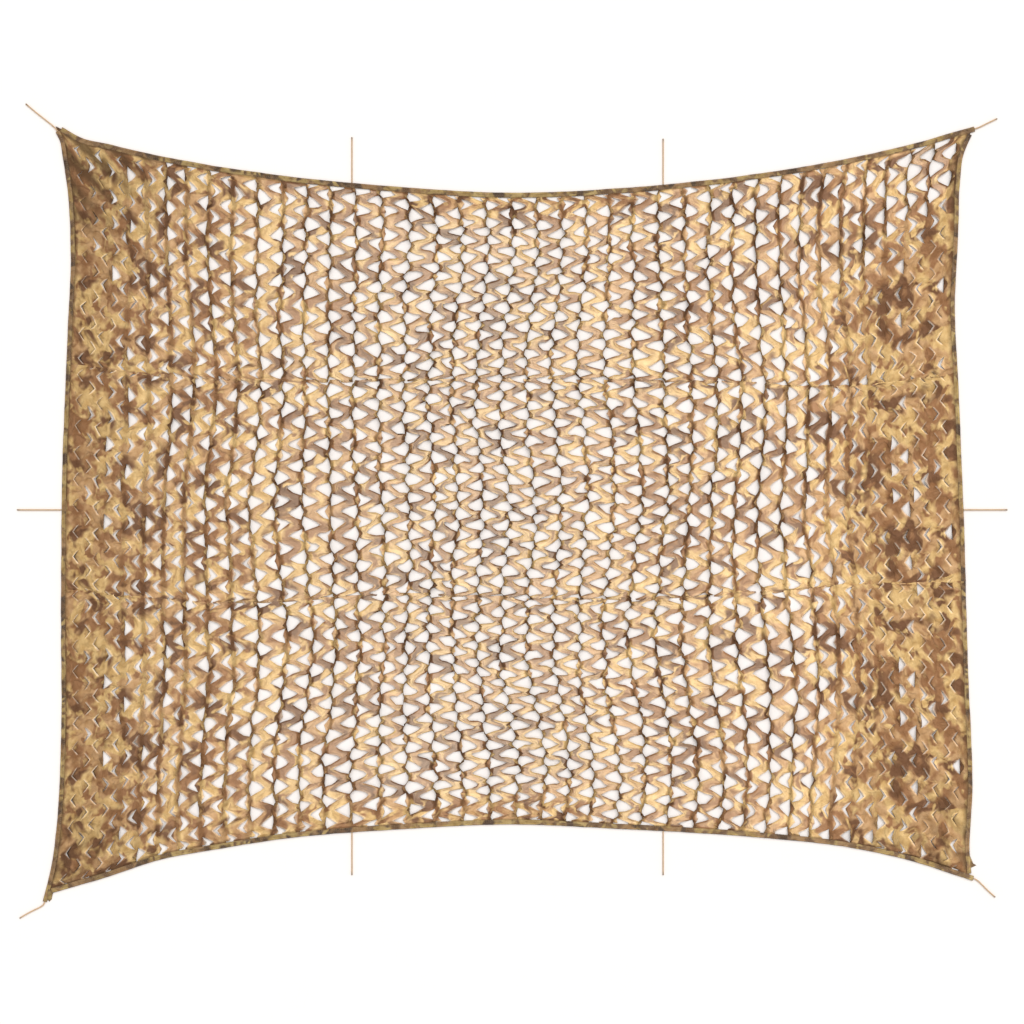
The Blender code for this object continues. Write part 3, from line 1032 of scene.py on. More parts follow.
@dataclass
class SideLine:
    """A mesh line up the cloth: its lattice places, level, flat place and vertex numbers."""

    line: Array
    heights: Array
    z: Array
    u: Array
    v: Array
    numbers: Array

    def copy(self) -> "SideLine":
        """Return a copy whose arrays can be changed."""
        return SideLine(*(getattr(self, part.name).copy() for part in fields(self)))


@dataclass
class ColumnLines:
    """One column of slits: the folds on its spine and the lips on its leaf."""

    number: int
    facing: float
    pattern: Array
    opening: Array
    x: Array
    y: Array
    spine: SideLine
    leaf: SideLine

    def side(self, kind: Strip) -> SideLine:
        """Return the line that borders a strip of the given kind."""
        return self.leaf if kind is Strip.LEAF else self.spine


@dataclass(frozen=True)
class SlitLips:
    """How far a slit opens, by the net's opening round it and its own draw, and its rim."""

    chance: Rows = ((0.0, 0.06), (0.15, 0.55), (0.7, 0.40), (1.0, 0.20))
    even_draw: float = 0.45
    gape: float = 2.00
    gape_from: float = 0.83
    gape_left: Rising = Rising(1.0, -4.0)
    gape_curl: float = 1.6
    widest: float = 1.08
    lead: float = 0.03
    pull: float = 0.405
    bow: Rising = Rising(1.0, 0.60)
    lean: float = 0.24
    rim: Rising = Rising(0.0030, 0.0040)
    open_rim: float = 0.0050
    # The lower part of each lip gets painted shade and the upper part painted light.
    shaded_from: float = -0.1
    shaded: float = 0.40

    def gaping(self, draw: float, base: float) -> float:
        """Return how much more a slit gapes that stands out in cloth which is nearly shut."""
        return self.gape * max(0.0, draw - self.gape_from) * max(0.0, self.gape_left.at(base))

    def opening(self, draw: float, base: float) -> float:
        """Return how far a slit opens."""
        own = (draw - self.even_draw) * float(read_rows(self.chance, base))
        return float(np.clip(base + own + self.gaping(draw, base), 0.0, self.widest))

    def shade(self, share: Array, base: float) -> Array:
        """Return a lip's shade along its slit: painted shade below, painted light above, and a
        painted highlight where the net is shut.
        """
        pulled = np.where(share < self.shaded_from, self.shaded, PAINTED_LIGHT_SHADE)
        return pulled * base - LIP_HIGHLIGHT_SHUT * (1.0 - base)


@dataclass(frozen=True)
class Tongues:
    """How the tongues curl out of their fold lines, with their painted light and shade; angles
    are in degrees.
    """

    length: float = 0.030
    lowest: float = 0.0006
    highest: float = 0.0290
    flat_share: Rows = ((0.0, 0.97), (0.15, 0.90), (0.35, 0.74), (0.6, 0.46), (0.8, 0.25),
                        (1.0, 0.12))
    flat_start: Rising = Rising(4.0, 26.0)
    flat_bend: Rising = Rising(-65.0, 75.0)
    rolled_start: Rising = Rising(40.0, 35.0)
    rolled_bend: Rising = Rising(95.0, 115.0)
    twist: float = 0.35
    cuts: int = 2
    open_cuts: int = 3
    open_from: float = 0.3
    pulled: Rising = Rising(0.10, 4.5)
    shrink: Rising = Rising(0.38, -0.34)
    # Painted light and shade on the tongues: a highlight on the tips, most in half-open cloth;
    # shade where they stand steep; shadow at the tips by shut slits; light on flat ones in open
    # cloth; shade on rolled ones.
    wear: Rows = ((0.08, 0.0), (0.28, 1.1), (0.60, 0.9), (0.90, 0.3))
    worn: Rising = Rising(0.4, 0.6)
    turned_shade: Rising = Rising(0.35, 0.45)
    tip_shade: float = 0.34
    open_light: float = 0.30
    rolled_shade: float = 0.10


@dataclass
class ClothWidth:
    """One width of slit cloth: leaves, spines and the tongues cut out between them."""

    name: str
    rows: int
    lower: str
    upper: str
    roll_start: int
    thickness: float = 0.0010
    held_columns: float = 3.0     # the warp grows to its full size over these,
    held_rows: float = 2.0        # inwards from the borders,
    free_columns: float = 12.0    # and the slow drift over these
    slow_warp: Rising = Rising(0.004, 0.006)
    quick_warp: Rising = Rising(0.0024, 0.0038)
    drift_reach: float = 0.030
    taut_by: float = 1.6          # how soon opening slits pull the cloth off the ground's swells
    lying: Rising = Rising(0.0006, 0.0025)
    swelling: Rising = Rising(0.0010, 0.0060)
    swell_lift: float = 0.25
    fold_rise: float = 0.0045
    fold_open: Rising = Rising(0.25, 0.75)
    fold_draw: Rising = Rising(0.5, 0.7)
    spine_shade: Rising = Rising(0.40, 0.34)
    ridge: Rising = Rising(0.0010, 0.0075)
    pucker_height: float = 0.0060
    pucker_left: Rising = Rising(1.0, -0.85)
    pucker_lift: float = 0.2
    lips: SlitLips = SlitLips()
    tongues: Tongues = Tongues()
    seed: int = 5
    points: list[Array] = field(default_factory=list)
    flats: list[Array] = field(default_factory=list)
    shades: list[Array] = field(default_factory=list)
    faces: list[tuple[int, ...]] = field(default_factory=list)
    seam_runs: list[Array] = field(default_factory=list)
    count: int = 0

    def __post_init__(self) -> None:
        """Work out the lattice's sizes and its random fields."""
        self.half_rows = 2 * self.rows
        self.shares = column_shares()
        self.draws = draw_slits(self.seed)
        # Each field's seed, number of waves, shortest and longest wave.
        self.warp_x = Ripples(21, 14, 0.20, 0.70)
        self.warp_y = Ripples(22, 14, 0.20, 0.70)
        self.shake_x = Ripples(23, 24, 0.055, 0.13)
        self.shake_y = Ripples(24, 24, 0.055, 0.13)
        self.swell = Ripples(25, 24, 0.09, 0.28)
        self.pucker = Ripples(26, 32, 0.028, 0.070)
        self.drift = Ripples(27, 7, 0.80, 1.90)
        self.wander = Ripples(28, 12, 0.05, 0.22)
        self.kink = Ripples(29, 32, 0.020, 0.045)
        self.fan = self._fan()

    def _fan(self) -> Array:
        """Return how much longer each column's slit pitch is than if all its rows fitted in.

        Returns:
            The factors, from the column before the first to the one past the last.
        """
        column = np.clip(np.arange(-1.0, COLUMNS + 2.0), 0.0, COLUMNS)
        x, low = self.place(column, np.zeros(column.shape))
        high = self.place(column, np.full(column.shape, float(self.half_rows)))[1]
        pitch = read_rows(PITCH_PROFILE, x)
        return np.maximum(1.0, pitch * self.rows / (high - low))

    # -- lattice to net --

    def _long_side(self, name: str, x: Array, past: Array, way: float) -> Array:
        """Return one long side's height up the net.

        Args:
            name: an edge's or a seam's name.
            x: places along it.
            past: how far past the border a point lies, 0 to 1.
            way: +1 above the panel and -1 below it.

        Returns:
            The heights up the net.
        """
        if name in SEAMS:
            return (SEAMS[name].read(x)[0] + way * SEAM_LAP * past
                    + SEAM_WANDER * self.wander.read(x, 0.0 * x))
        edge = EDGES[Side(name)]
        clear = edge.width + CLOTH_CLEAR
        return edge.level(x, clear + (CLOTH_IN_BINDING - clear) * past)

    def place(self, column: Array, height: Array) -> tuple[Array, Array]:
        """Map lattice places to the net before it is warped.

        Args:
            column: places across, in columns; beyond the borders lies inside a binding.
            height: places up the panel, in half pitches.

        Returns:
            X and Y in the table's frame.
        """
        share = np.interp(np.clip(column, 0.0, COLUMNS) / 2.0,
                          np.arange(SOURCE_COLUMNS + 1), self.shares)
        borders = unit(height) + unit(height - self.half_rows + 1.0)
        rise = ((np.clip(height, 0.0, self.half_rows) - BORDER_ROW * borders)
                / (self.half_rows - 2.0 * BORDER_ROW))
        left_past = unit(-column)
        right_past = unit(column - COLUMNS)
        low_past = unit(-height)
        high_past = unit(height - self.half_rows)
        left, right = EDGES[Side.LEFT], EDGES[Side.RIGHT]
        clear = SHORT_BINDING_WIDTH + CLOTH_CLEAR
        x, y = np.zeros(np.shape(share)), np.zeros(np.shape(share))
        for _ in range(PLACE_ROUNDS):
            start = left.level(y, clear + (CLOTH_IN_BINDING - clear) * left_past)
            stop = right.level(y, clear + (CLOTH_IN_BINDING - clear) * right_past)
            x = start + (stop - start) * share
            low = self._long_side(self.lower, x, low_past, -1.0)
            high = self._long_side(self.upper, x, high_past, 1.0)
            y = low + (high - low) * rise
        return x, y

    def warped(self, column: Array, height: Array) -> tuple[Array, Array]:
        """Map lattice places to the net and pull them out of line, as real cloth is.

        Args:
            column: places across, in columns.
            height: places up the panel, in half pitches.

        Returns:
            X and Y in the table's frame.
        """
        x, y = self.place(column, height)
        from_side = np.minimum(column, COLUMNS - column)
        from_end = np.minimum(height, self.half_rows - height)
        held = unit(from_side / self.held_columns) * unit(from_end / self.held_rows)
        free = unit(from_side / self.free_columns) ** 2
        opening = open_share(x, y) / FULLY_OPEN
        slow, quick = self.slow_warp.at(opening), self.quick_warp.at(opening)
        moved_x = (x + held * (slow * self.warp_x.read(x, y) + quick * self.shake_x.read(x, y))
                   + self.drift_reach * free * self.drift.read(x, y))
        moved_y = y + held * (slow * self.warp_y.read(x, y) + quick * self.shake_y.read(x, y))
        return moved_x, moved_y

    # -- mesh rows and columns --

    def _line_heights(self, column: int) -> tuple[Array, Array, Array]:
        """Place the mesh rows of a column; rows that run off the width end on its border.

        Args:
            column: the column's number.

        Returns:
            The rows' places in the slit pattern, their heights up the panel and their distances
            to the nearest slit row.
        """
        near = np.array([SLIT_REACH * step / SLIT_STEPS for step in range(SLIT_STEPS + 1)]
                        + [1.0 - (1.0 - SLIT_REACH) / 2.0])
        far = 1.0 - np.concatenate(([1.0], near[:0:-1]))
        rows = [row + (near if row % 2 != column % 2 else far) for row in range(self.half_rows)]
        full = float(self.half_rows)
        middle, fan = 0.5 * full, self.fan[column + 1]
        low, high = middle - middle / fan, middle + middle / fan
        pattern = np.clip(np.concatenate(([0.0], *rows, (full, full))), low, high)
        heights = middle + (pattern - middle) * fan
        heights[pattern <= low] = 0.0
        heights[pattern >= high] = full
        heights[0], heights[-1] = -1.0, full + 1.0
        return pattern, heights, (pattern + column % 2) % 2.0 - 1.0

    def _gathered(self, numbers: Array, heights: Array) -> Array:
        """Give the mesh rows that have run off the width one vertex on its border.

        Args:
            numbers: vertex numbers of a mesh line.
            heights: their heights up the panel.

        Returns:
            The vertex numbers, the same ones on each border.
        """
        gathered = numbers.copy()
        for border, keep in ((0.0, 0), (float(self.half_rows), -1)):
            off = np.abs(heights - border) < SAME_PLACE
            gathered[off] = numbers[off][keep]
        return gathered

    def _add_points(self, x: Array, y: Array, z: Array, u: Array, v: Array,
                    shade: Array | float) -> Array:
        """Keep new vertices and return their numbers.

        Args:
            x: places across the net.
            y: places up the net.
            z: heights above the ground.
            u: places across the flat cloth.
            v: places up the flat cloth.
            shade: the cloth's painted light and shade there; the corners' painted shade is added
                to it.

        Returns:
            The new vertices' numbers.
        """
        shape = np.shape(x)
        numbers = self.count + np.arange(np.size(x)).reshape(shape)
        self.points.append(np.stack([np.ravel(part) for part in (x, y, z)], axis=1))
        self.flats.append(np.stack([np.ravel(np.broadcast_to(part, shape)) for part in (u, v)],
                                   axis=1))
        self.shades.append(np.ravel(np.broadcast_to(shade, shape) + corner_painted_shade(x, y)))
        self.count += np.size(x)
        return numbers

    def _grid(self, numbers: Array, flip: bool = False) -> None:
        """Add quads between the columns of a number grid, and triangles where two meet.

        Args:
            numbers: vertex numbers, one mesh column per row of the array.
            flip: turn the faces over.
        """
        for left, right in zip(numbers, numbers[1:]):
            for low in range(len(left) - 1):
                ring = (left[low], right[low], right[low + 1], left[low + 1])
                ring = tuple(dict.fromkeys(int(number) for number in ring))
                if len(ring) > 2:
                    self.faces.append(ring[::-1] if flip else ring)

    def _flat_height(self, heights: Array) -> Array:
        """Return places up the flat cloth, counted as the roll was cut."""
        return 0.5 * FLAT_ROW * (heights - self.roll_start)

    def _ground(self, x: Array, y: Array, opening: Array) -> Array:
        """Return the cloth's slow swells above the ground, highest where it is slack.

        Args:
            x: places across the net.
            y: places up the net.
            opening: how far the net is pulled open there.

        Returns:
            The heights.
        """
        slack = 1.0 - np.minimum(1.0, self.taut_by * opening)
        swell = np.maximum(0.0, self.swell.read(x, y) + self.swell_lift)
        return (self.lying.at(slack) + self.swelling.at(slack) * swell
                + corner_fold(x, y) * slack)

    def _held_height(self, column: int, heights: Array, ground: Array) -> Array:
        """Return the height of cloth that a binding or a seam holds, 0 where it is free.

        Args:
            column: the mesh line's column.
            heights: places up the panel.
            ground: the free cloth's heights above the ground.

        Returns:
            The held heights.
        """
        held = np.zeros(heights.shape)
        if column <= 0 or column >= COLUMNS:
            held[:] = CLOTH_HELD_AT
        for name, border, over in ((self.lower, heights <= 0.0, 0.0),
                                   (self.upper, heights >= self.half_rows, SEAM_OVER)):
            held[border] = ground[border] + over if name in SEAMS else CLOTH_HELD_AT
        return held

    def _edge_shade(self, column: int, heights: Array) -> Array:
        """Return the painted shadow that the bindings cast on the cloth along them.

        Args:
            column: the mesh line's column.
            heights: places up the panel.

        Returns:
            What is added to the cloth's shade.
        """
        shade = np.zeros(heights.shape)
        if self.lower not in SEAMS:
            shade[heights <= 0.0] = BINDING_SHADOW
        if self.upper not in SEAMS:
            shade[heights >= self.half_rows] = BINDING_SHADOW
        if column <= 0 or column >= COLUMNS:
            shade[:] = BINDING_SHADOW
        return shade

    def build(self, material: bpy.types.Material) -> bpy.types.Object:
        """Build the width.

        Args:
            material: its finish.

        Returns:
            The finished piece.
        """
        columns = [self._column(number) for number in range(-1, COLUMNS + 2)]
        for left, right in zip(columns, columns[1:]):
            kind = Strip.SPINE if left.number % 2 == 1 else Strip.LEAF
            self._strip(kind, left, right)
        used = np.unique(np.concatenate(self.faces))
        renumber = np.zeros(self.count, int)
        renumber[used] = np.arange(len(used))
        faces = [tuple(int(number) for number in renumber[list(face)]) for face in self.faces]
        piece = add_piece(self.name, np.concatenate(self.points)[used], faces,
                          np.concatenate(self.flats)[used], np.concatenate(self.shades)[used],
                          material)
        return thicken(piece, self.thickness)

    def _column(self, number: int) -> ColumnLines:
        """Build one column's line of vertices, its slits' far lips and its tongues.

        Args:
            number: the column's number; -1 and COLUMNS + 1 lie inside the side bindings.

        Returns:
            The column's lines.
        """
        pattern, heights, offsets = self._line_heights(number)
        facing = 1.0 if number % 2 == 0 else -1.0
        inside = 1 <= number <= COLUMNS - 1
        x, y = self.place(np.full(heights.shape, float(number)), heights)
        opening = openness(x, y)
        near_slit = 0.5 + 0.5 * np.cos(math.pi * offsets)
        line = np.full(heights.shape, float(number))
        flat_u = np.full(heights.shape, FLAT_COLUMN * number)
        if inside:
            back = SLIT_SHUT + SPINE_HALF_GAP * opening
            line -= facing * (back + SWAY * opening * np.cos(math.pi * offsets))
            line += SPINE_KINK * opening * self.kink.read(x, y)
            flat_u -= FLAT_COLUMN * facing * SLIT_SHUT
        own = np.clip(np.rint(pattern - offsets).astype(int) - self.roll_start, 0,
                      DRAWN_ROWS - 1)
        raise_by = self.fold_draw.at(self.draws.rise[np.clip(number, 0, COLUMNS), own])
        wx, wy = self.warped(line, heights)
        level = ground = self._ground(wx, wy, opening)
        if inside:
            level = ground + (self.fold_rise * self.fold_open.at(opening) * raise_by
                              * near_slit)
        held = self._held_height(number, heights, ground)
        level = np.where(held > 0.0, held, level)
        flat_v = self._flat_height(pattern)
        numbers = self._add_points(wx, wy, level, flat_u, flat_v,
                                   self._spine_shade(wx, wy, opening)
                                   + self._edge_shade(number, heights))
        spine = SideLine(line, heights, level, flat_u, flat_v, self._gathered(numbers, heights))
        column = ColumnLines(number, facing, pattern, opening, wx, wy, spine, spine.copy())
        if inside:
            for row in range(1 - number % 2, self.half_rows + 1, 2):
                self._slit(column, row)
        return column

    def _spine_shade(self, x: Array, y: Array, opening: Array) -> Array:
        """Return the painted shade on the gathered cloth of the spines, patchy along them and
        deeper where the net is open.
        """
        return opening * self.spine_shade.at(self.kink.read(x, y))

    def _slit(self, column: ColumnLines, row: int) -> None:
        """Open one slit: add the leaf's lip and the tongue on the spine.

        Args:
            column: the column's lines; its leaf's line is changed in place.
            row: the slit's row, in half pitches; at a border only half the slit is there.
        """
        facing, spine, leaf = column.facing, column.spine, column.leaf
        middle = 1 + STEPS * row
        low = int(np.flatnonzero(spine.heights == 0.0)[-1])
        high = int(np.flatnonzero(spine.heights == self.half_rows)[0])
        if not low <= middle <= high:
            return
        span = np.arange(max(low, middle - SLIT_STEPS), min(high, middle + SLIT_STEPS) + 1)
        share = (column.pattern[span] - row) / SLIT_REACH
        inner = np.abs(share) < SLIT_INSIDE
        own = min(max(row - self.roll_start, 0), DRAWN_ROWS - 1)
        draws = Draws(*(float(table[column.number, own]) for table in self.draws))
        lips, base = self.lips, float(column.opening[middle])
        opening = lips.opening(draws.opening, base)
        ends = np.interp(share, share[~inner], spine.line[span[~inner]])
        apex = column.number + facing * (SLIT_SHUT + lips.lead + lips.pull * opening)
        bow = 1.0 - np.abs(share) ** lips.bow.at(opening)
        lip = ends + (apex - ends) * bow
        heights = spine.heights[span]
        held = self._held_height(column.number, heights, spine.z[span])
        lean = np.where(held > 0.0, 0.0, lips.lean * (draws.tip - 0.5) * (1.0 - np.abs(share)))
        rim = lips.rim.at(draws.tip) + lips.open_rim * base
        end_z = np.interp(share, share[~inner], spine.z[span[~inner]])
        level = end_z + (rim - 0.5 * end_z) * (1.0 - share ** 2)
        level = np.where(held > 0.0, held, level)
        u = FLAT_COLUMN * (column.number + facing * SLIT_SHUT * (1.0 - 2.0 * np.abs(share)))
        x, y = self.warped(lip, heights + lean)
        x = x + LIP_FRAY * opening * self.kink.read(x, y) * inner
        taken = span[inner]
        leaf.numbers[taken] = self._add_points(x[inner], y[inner], level[inner], u[inner],
                                               spine.v[taken], lips.shade(share[inner], base))
        leaf.line[taken], leaf.heights[taken] = lip[inner], (heights + lean)[inner]
        leaf.z[taken], leaf.u[taken] = level[inner], u[inner]
        for border, off in ((low, slice(1, low)), (high, slice(high + 1, -1))):
            if border in taken:
                self._notch(column, border, off)
        aim = np.array((x - column.x[span], y - column.y[span]))[:, np.argmin(np.abs(share))]
        gape = lips.gaping(draws.opening, base)
        self._tongue(column, draws, max(base, lips.gape_curl * gape), span, share,
                     aim / max(SMALLEST, float(np.hypot(*aim))))

    def _notch(self, column: ColumnLines, border: int, off: slice) -> None:
        """Carry a slit that the cloth's edge cuts through on to that edge.

        Args:
            column: the column's lines; its leaf's line is changed in place.
            border: the mesh row on the border.
            off: the mesh rows that have run off the width there.
        """
        leaf = column.leaf
        for values in (leaf.numbers, leaf.line, leaf.z, leaf.u):
            values[off] = values[border]
        past = 0 if leaf.heights[border] == 0.0 else len(leaf.heights) - 1
        heights = leaf.heights[past:past + 1]
        x, y = self.warped(leaf.line[border:border + 1], heights)
        leaf.line[past], leaf.u[past] = leaf.line[border], leaf.u[border]
        leaf.numbers[past] = self._add_points(
            x, y, leaf.z[past:past + 1], leaf.u[border], leaf.v[border],
            self._edge_shade(column.number, heights))[0]

    def _tongue(self, column: ColumnLines, draws: Draws, base: float, span: Array,
                share: Array, aim: Array) -> None:
        """Curl one tongue out of its fold line.

        Args:
            column: the column's lines.
            draws: the slit's random numbers.
            base: how far the cloth round it is open.
            span: the column's vertices along the slit.
            share: their places along it, -1 to 1.
            aim: direction from the fold to the leaf's lip.
        """
        form = self.tongues
        flat_share = float(read_rows(form.flat_share, base))
        lies_flat = draws.curl < flat_share
        if lies_flat:
            start = math.radians(form.flat_start.at(draws.rise))
            bend = math.radians(form.flat_bend.at(draws.twist))
        else:
            amount = (draws.curl - flat_share) / (1.0 - flat_share)
            start = math.radians(form.rolled_start.at(amount))
            bend = math.radians(form.rolled_bend.at(draws.twist))
        cuts = form.open_cuts if base > form.open_from else form.cuts
        # The painted highlight on this tongue's tip, most in half-open cloth.
        worn = form.worn.at(draws.rise) * float(read_rows(form.wear, base))
        inner = np.abs(share) < SLIT_INSIDE
        share, folded = share[inner], span[inner]
        pulled = min(1.0, form.pulled.at(base)) if lies_flat else 0.0
        shrink = 1.0 - form.shrink.at(draws.tip) * pulled
        reach = shrink * form.length * (1.0 - np.abs(share))
        first = start + form.twist * (draws.twist - 0.5) * share
        rate = bend / form.length
        v = column.spine.v[folded]
        grid = [column.spine.numbers[span]]
        for cut in range(1, cuts + 1):
            length = reach * cut / cuts
            last = first + rate * length
            out = (np.sin(last) - np.sin(first)) / rate
            rise = (np.cos(first) - np.cos(last)) / rate
            level = np.clip(column.spine.z[folded] + rise, form.lowest, form.highest)
            u = column.spine.u[folded] + column.facing * FLAT_COLUMN * 2.0 * SLIT_SHUT * (
                (1.0 - np.abs(share)) * cut / cuts)
            # Painted shade where the tongue stands steep, painted shadow towards its tip by shut
            # slits, and painted light on flat tongues in open cloth and on highlighted tips.
            turned = np.abs(np.sin(last)) * form.turned_shade.at(base)
            tip = form.tip_shade * (1.0 - base) * (cut / cuts) ** 2 - worn * cut / cuts
            shade = (turned + tip - form.open_light * base if lies_flat
                     else form.rolled_shade + turned)
            numbers = column.spine.numbers[span].copy()
            numbers[inner] = self._add_points(column.x[folded] + aim[0] * out,
                                              column.y[folded] + aim[1] * out, level, u, v,
                                              shade)
            grid.append(numbers)
        self._grid(np.array(grid), flip=column.facing < 0.0)

    def _strip(self, kind: Strip, left: ColumnLines, right: ColumnLines) -> None:
        """Fill the strip between two columns.

        Args:
            kind: a wide leaf or a narrow spine.
            left: lines of the left column.
            right: lines of the right column.
        """
        first, second = left.side(kind), right.side(kind)
        lines = LEAF_LINES if kind is Strip.LEAF else SPINE_LINES
        if left.number < 0 or right.number > COLUMNS:
            lines = HEM_LINES
        grid = [first.numbers]
        for share, follows in zip(lines[1:-1], LIP_LEVELS[1:-1]):
            line = blend(first.line, second.line, share)
            heights = blend(first.heights, second.heights, share)
            x, y = self.warped(line, heights)
            opening = openness(x, y)
            free = unit(np.minimum(heights, self.half_rows - heights))
            ground = self._ground(x, y, opening)
            if kind is Strip.LEAF:
                edge_z = (first if share < 0.5 else second).z
                ripple = np.maximum(0.0, self.pucker.read(x, y) + self.pucker_lift)
                low = ground + self.pucker_height * self.pucker_left.at(opening) * ripple
                level = edge_z + (low - edge_z) * (1.0 - follows) * free
                # Painted light on the leaves, more where the net is pulled open.
                shade = PAINTED_LIGHT_SHADE * opening
            else:
                middle = 0.5 * (first.z + second.z)
                level = middle + self.ridge.at(opening) * free
                shade = self._spine_shade(x, y, opening)
            held = self._held_height(1, heights, ground)
            level = np.where(held > 0.0, held, level)
            shade = shade + self._edge_shade(1, heights)
            u, v = blend(first.u, second.u, share), blend(first.v, second.v, share)
            grid.append(self._gathered(self._add_points(x, y, level, u, v, shade), heights))
        grid.append(second.numbers)
        self._grid(np.array(grid))
        if self.lower in SEAMS and lines is not HEM_LINES:
            ends = self.warped(np.array((first.line[1], second.line[1])), np.zeros(2))
            self.seam_runs.append(np.stack((*ends, np.full(2, SEAM_TOP)), axis=1))

    def flat_size(self) -> tuple[float, float]:
        """Return the width and length that the cloth was cut to."""
        return (COLUMNS * FLAT_COLUMN + 2.0 * (CLOTH_CLEAR + CLOTH_HELD),
                self.rows * FLAT_ROW + 2.0 * SEAM_LAP)


# ---- Bindings ------------------------------------------------------------------------------


def binding_ends() -> dict[Side, tuple[float, float]]:
    """Return where each binding starts and stops, butted against its neighbours.

    Returns:
        Each edge's first and last place.
    """
    top, bottom = EDGES[Side.TOP], EDGES[Side.BOTTOM]
    left, right = EDGES[Side.LEFT], EDGES[Side.RIGHT]
    return {
        Side.TOP: (top.meets(TOP_LINE[0][0], top.width, left), TOP_LINE[-1][0]),
        Side.BOTTOM: (bottom.meets(BOTTOM_LINE[0][0], bottom.width, left),
                      BOTTOM_LINE[-1][0]),
        Side.LEFT: (LEFT_LINE[0][0], LEFT_LINE[-1][0]),
        Side.RIGHT: (right.meets(RIGHT_LINE[0][0], right.width, bottom),
                     right.meets(RIGHT_LINE[-1][0], right.width, top)),
    }


TAPE_ROPE_SIDE: Rows = ((0.0100, 0.0006), (0.0130, 0.0))     # inset, rise over the lip height
TAPE_LIP: Rows = ((-0.0012, -0.0002), (0.0, -0.0010))        # past the width, and the same
TAPE_UNDER: Rows = ((0.0, 0.0012), (-0.0010, 0.0002))        # past the width, height
TAPE_INNER: Rows = ((0.0120, 0.0002),)                       # inset, height
# Painted shade round the tape's section, darkest where it turns down.
TAPE_PAINTED_SHADE = (0.5, 0.5, 0.55, 0.55, 0.55, 0.45, 0.30, 0.12, 0.0, 0.35, 0.10, 0.25, 0.55, 0.6,
               0.6, 0.5)    # round the tape's section, darkest where it turns down


@dataclass
class EdgeBinding:
    """A printed tape folded over the cloth's edge and the rope inside it."""

    side: Side
    ends: tuple[float, float]
    seed: int
    station_step: float = 0.012
    rope_height: float = 0.0074
    rope_turns: tuple[float, float, int] = (-0.5 * math.pi, 0.62 * math.pi, 9)
    lip_height: float = 0.0052
    swell: float = 0.05
    sway: float = 0.0007
    stitch_margin: float = 0.010
    stitch_step: float = 0.04
    fewest_points: int = 8

    def section(self, width: float) -> Array:
        """Return the tape's section as (inset, height) points, once round it.

        Args:
            width: the tape's width.

        Returns:
            The points, in the order that makes faces look outwards.
        """
        radius, lip = self.rope_height / 2.0, self.lip_height
        return np.array(
            [(radius - radius * math.cos(turn), radius + radius * math.sin(turn))
             for turn in np.linspace(*self.rope_turns)]
            + [(inset, lip + rise) for inset, rise in TAPE_ROPE_SIDE]
            + [(width + past, lip + rise) for past, rise in TAPE_LIP]
            + [(width + past, height) for past, height in TAPE_UNDER] + list(TAPE_INNER))

    def build(self, material: bpy.types.Material) -> bpy.types.Object:
        """Sweep the tape along its edge.

        Args:
            material: its finish.

        Returns:
            The finished piece.
        """
        edge = EDGES[self.side]
        section = self.section(edge.width)
        size = len(section)
        # Seed, number of waves, shortest and longest wave.
        thick = Ripples(self.seed, 18, 0.04, 0.16)
        wave = Ripples(self.seed + 1, 18, 0.05, 0.22)
        rings = []
        for place in self.stations(0.0, self.station_step):
            swell = 1.0 + self.swell * float(thick.read(place, 0.0))
            sway = self.sway * float(wave.read(place, 0.0))
            rings.append(edge.point(place, section[:, 0] + sway, section[:, 1] * swell))
        points = np.array(rings)
        around = running_length(section)
        run = running_length(points[:, 0])
        flat = np.stack(np.broadcast_arrays(run[:, None], around[None, :]), axis=-1)
        faces = tube_quads(0, len(rings), size)
        faces.append(tuple(range(size))[::-1])
        faces.append(tuple(range((len(rings) - 1) * size, len(rings) * size)))
        if edge.lengthways != (edge.inwards < 0.0):
            # The section runs the other way round on these edges.
            faces = [face[::-1] for face in faces]
        shade = np.tile(TAPE_PAINTED_SHADE, len(rings))
        return add_piece(f"tape_{self.side.value}", points.reshape(-1, 3), faces,
                         flat.reshape(-1, 2), shade, material)

    def stations(self, margin: float, step: float) -> Array:
        """Return places along the edge about a step apart, a margin in from the ends.

        Args:
            margin: distance from the ends.
            step: distance between places.

        Returns:
            The places.
        """
        start, stop = self.ends
        count = max(self.fewest_points, round((stop - start) / step))
        return np.linspace(start + margin, stop - margin, count)

    def stitch_line(self, inset: float, height: float) -> Array:
        """Return points along a row of stitches on the tape."""
        along = self.stations(self.stitch_margin, self.stitch_step)
        return EDGES[self.side].point(along, inset, height)


@dataclass(frozen=True)
class LooseTab:
    """A loose end of cloth that sticks out from under a binding at a corner."""

    name: str
    outline: Rows
    low: float
    high: float
    thickness: float = 0.0011
    rim_shade: float = 0.40
    inner_shade: float = 0.15

    def build(self, material: bpy.types.Material) -> bpy.types.Object:
        """Build the tab as a fan of thin cloth, raised along its middle.

        Args:
            material: its finish.

        Returns:
            The finished piece.
        """
        rim = np.array(self.outline)
        middle = rim.mean(axis=0)
        half = 0.5 * (rim + middle)
        flats = np.concatenate((rim, half, middle[None, :]))
        count = len(rim)
        heights = np.concatenate((np.full(count, self.low), np.full(count, self.high),
                                  (0.5 * (self.low + self.high),)))
        faces = []
        for spot in range(count):
            after = (spot + 1) % count
            faces.append((spot, after, count + after, count + spot))
            faces.append((count + spot, count + after, 2 * count))
        shade = np.concatenate((np.full(count, self.rim_shade),
                                np.full(count + 1, self.inner_shade)))
        piece = add_piece(self.name, np.column_stack((flats, heights)), faces, flats, shade,
                          material)
        return thicken(piece, self.thickness)


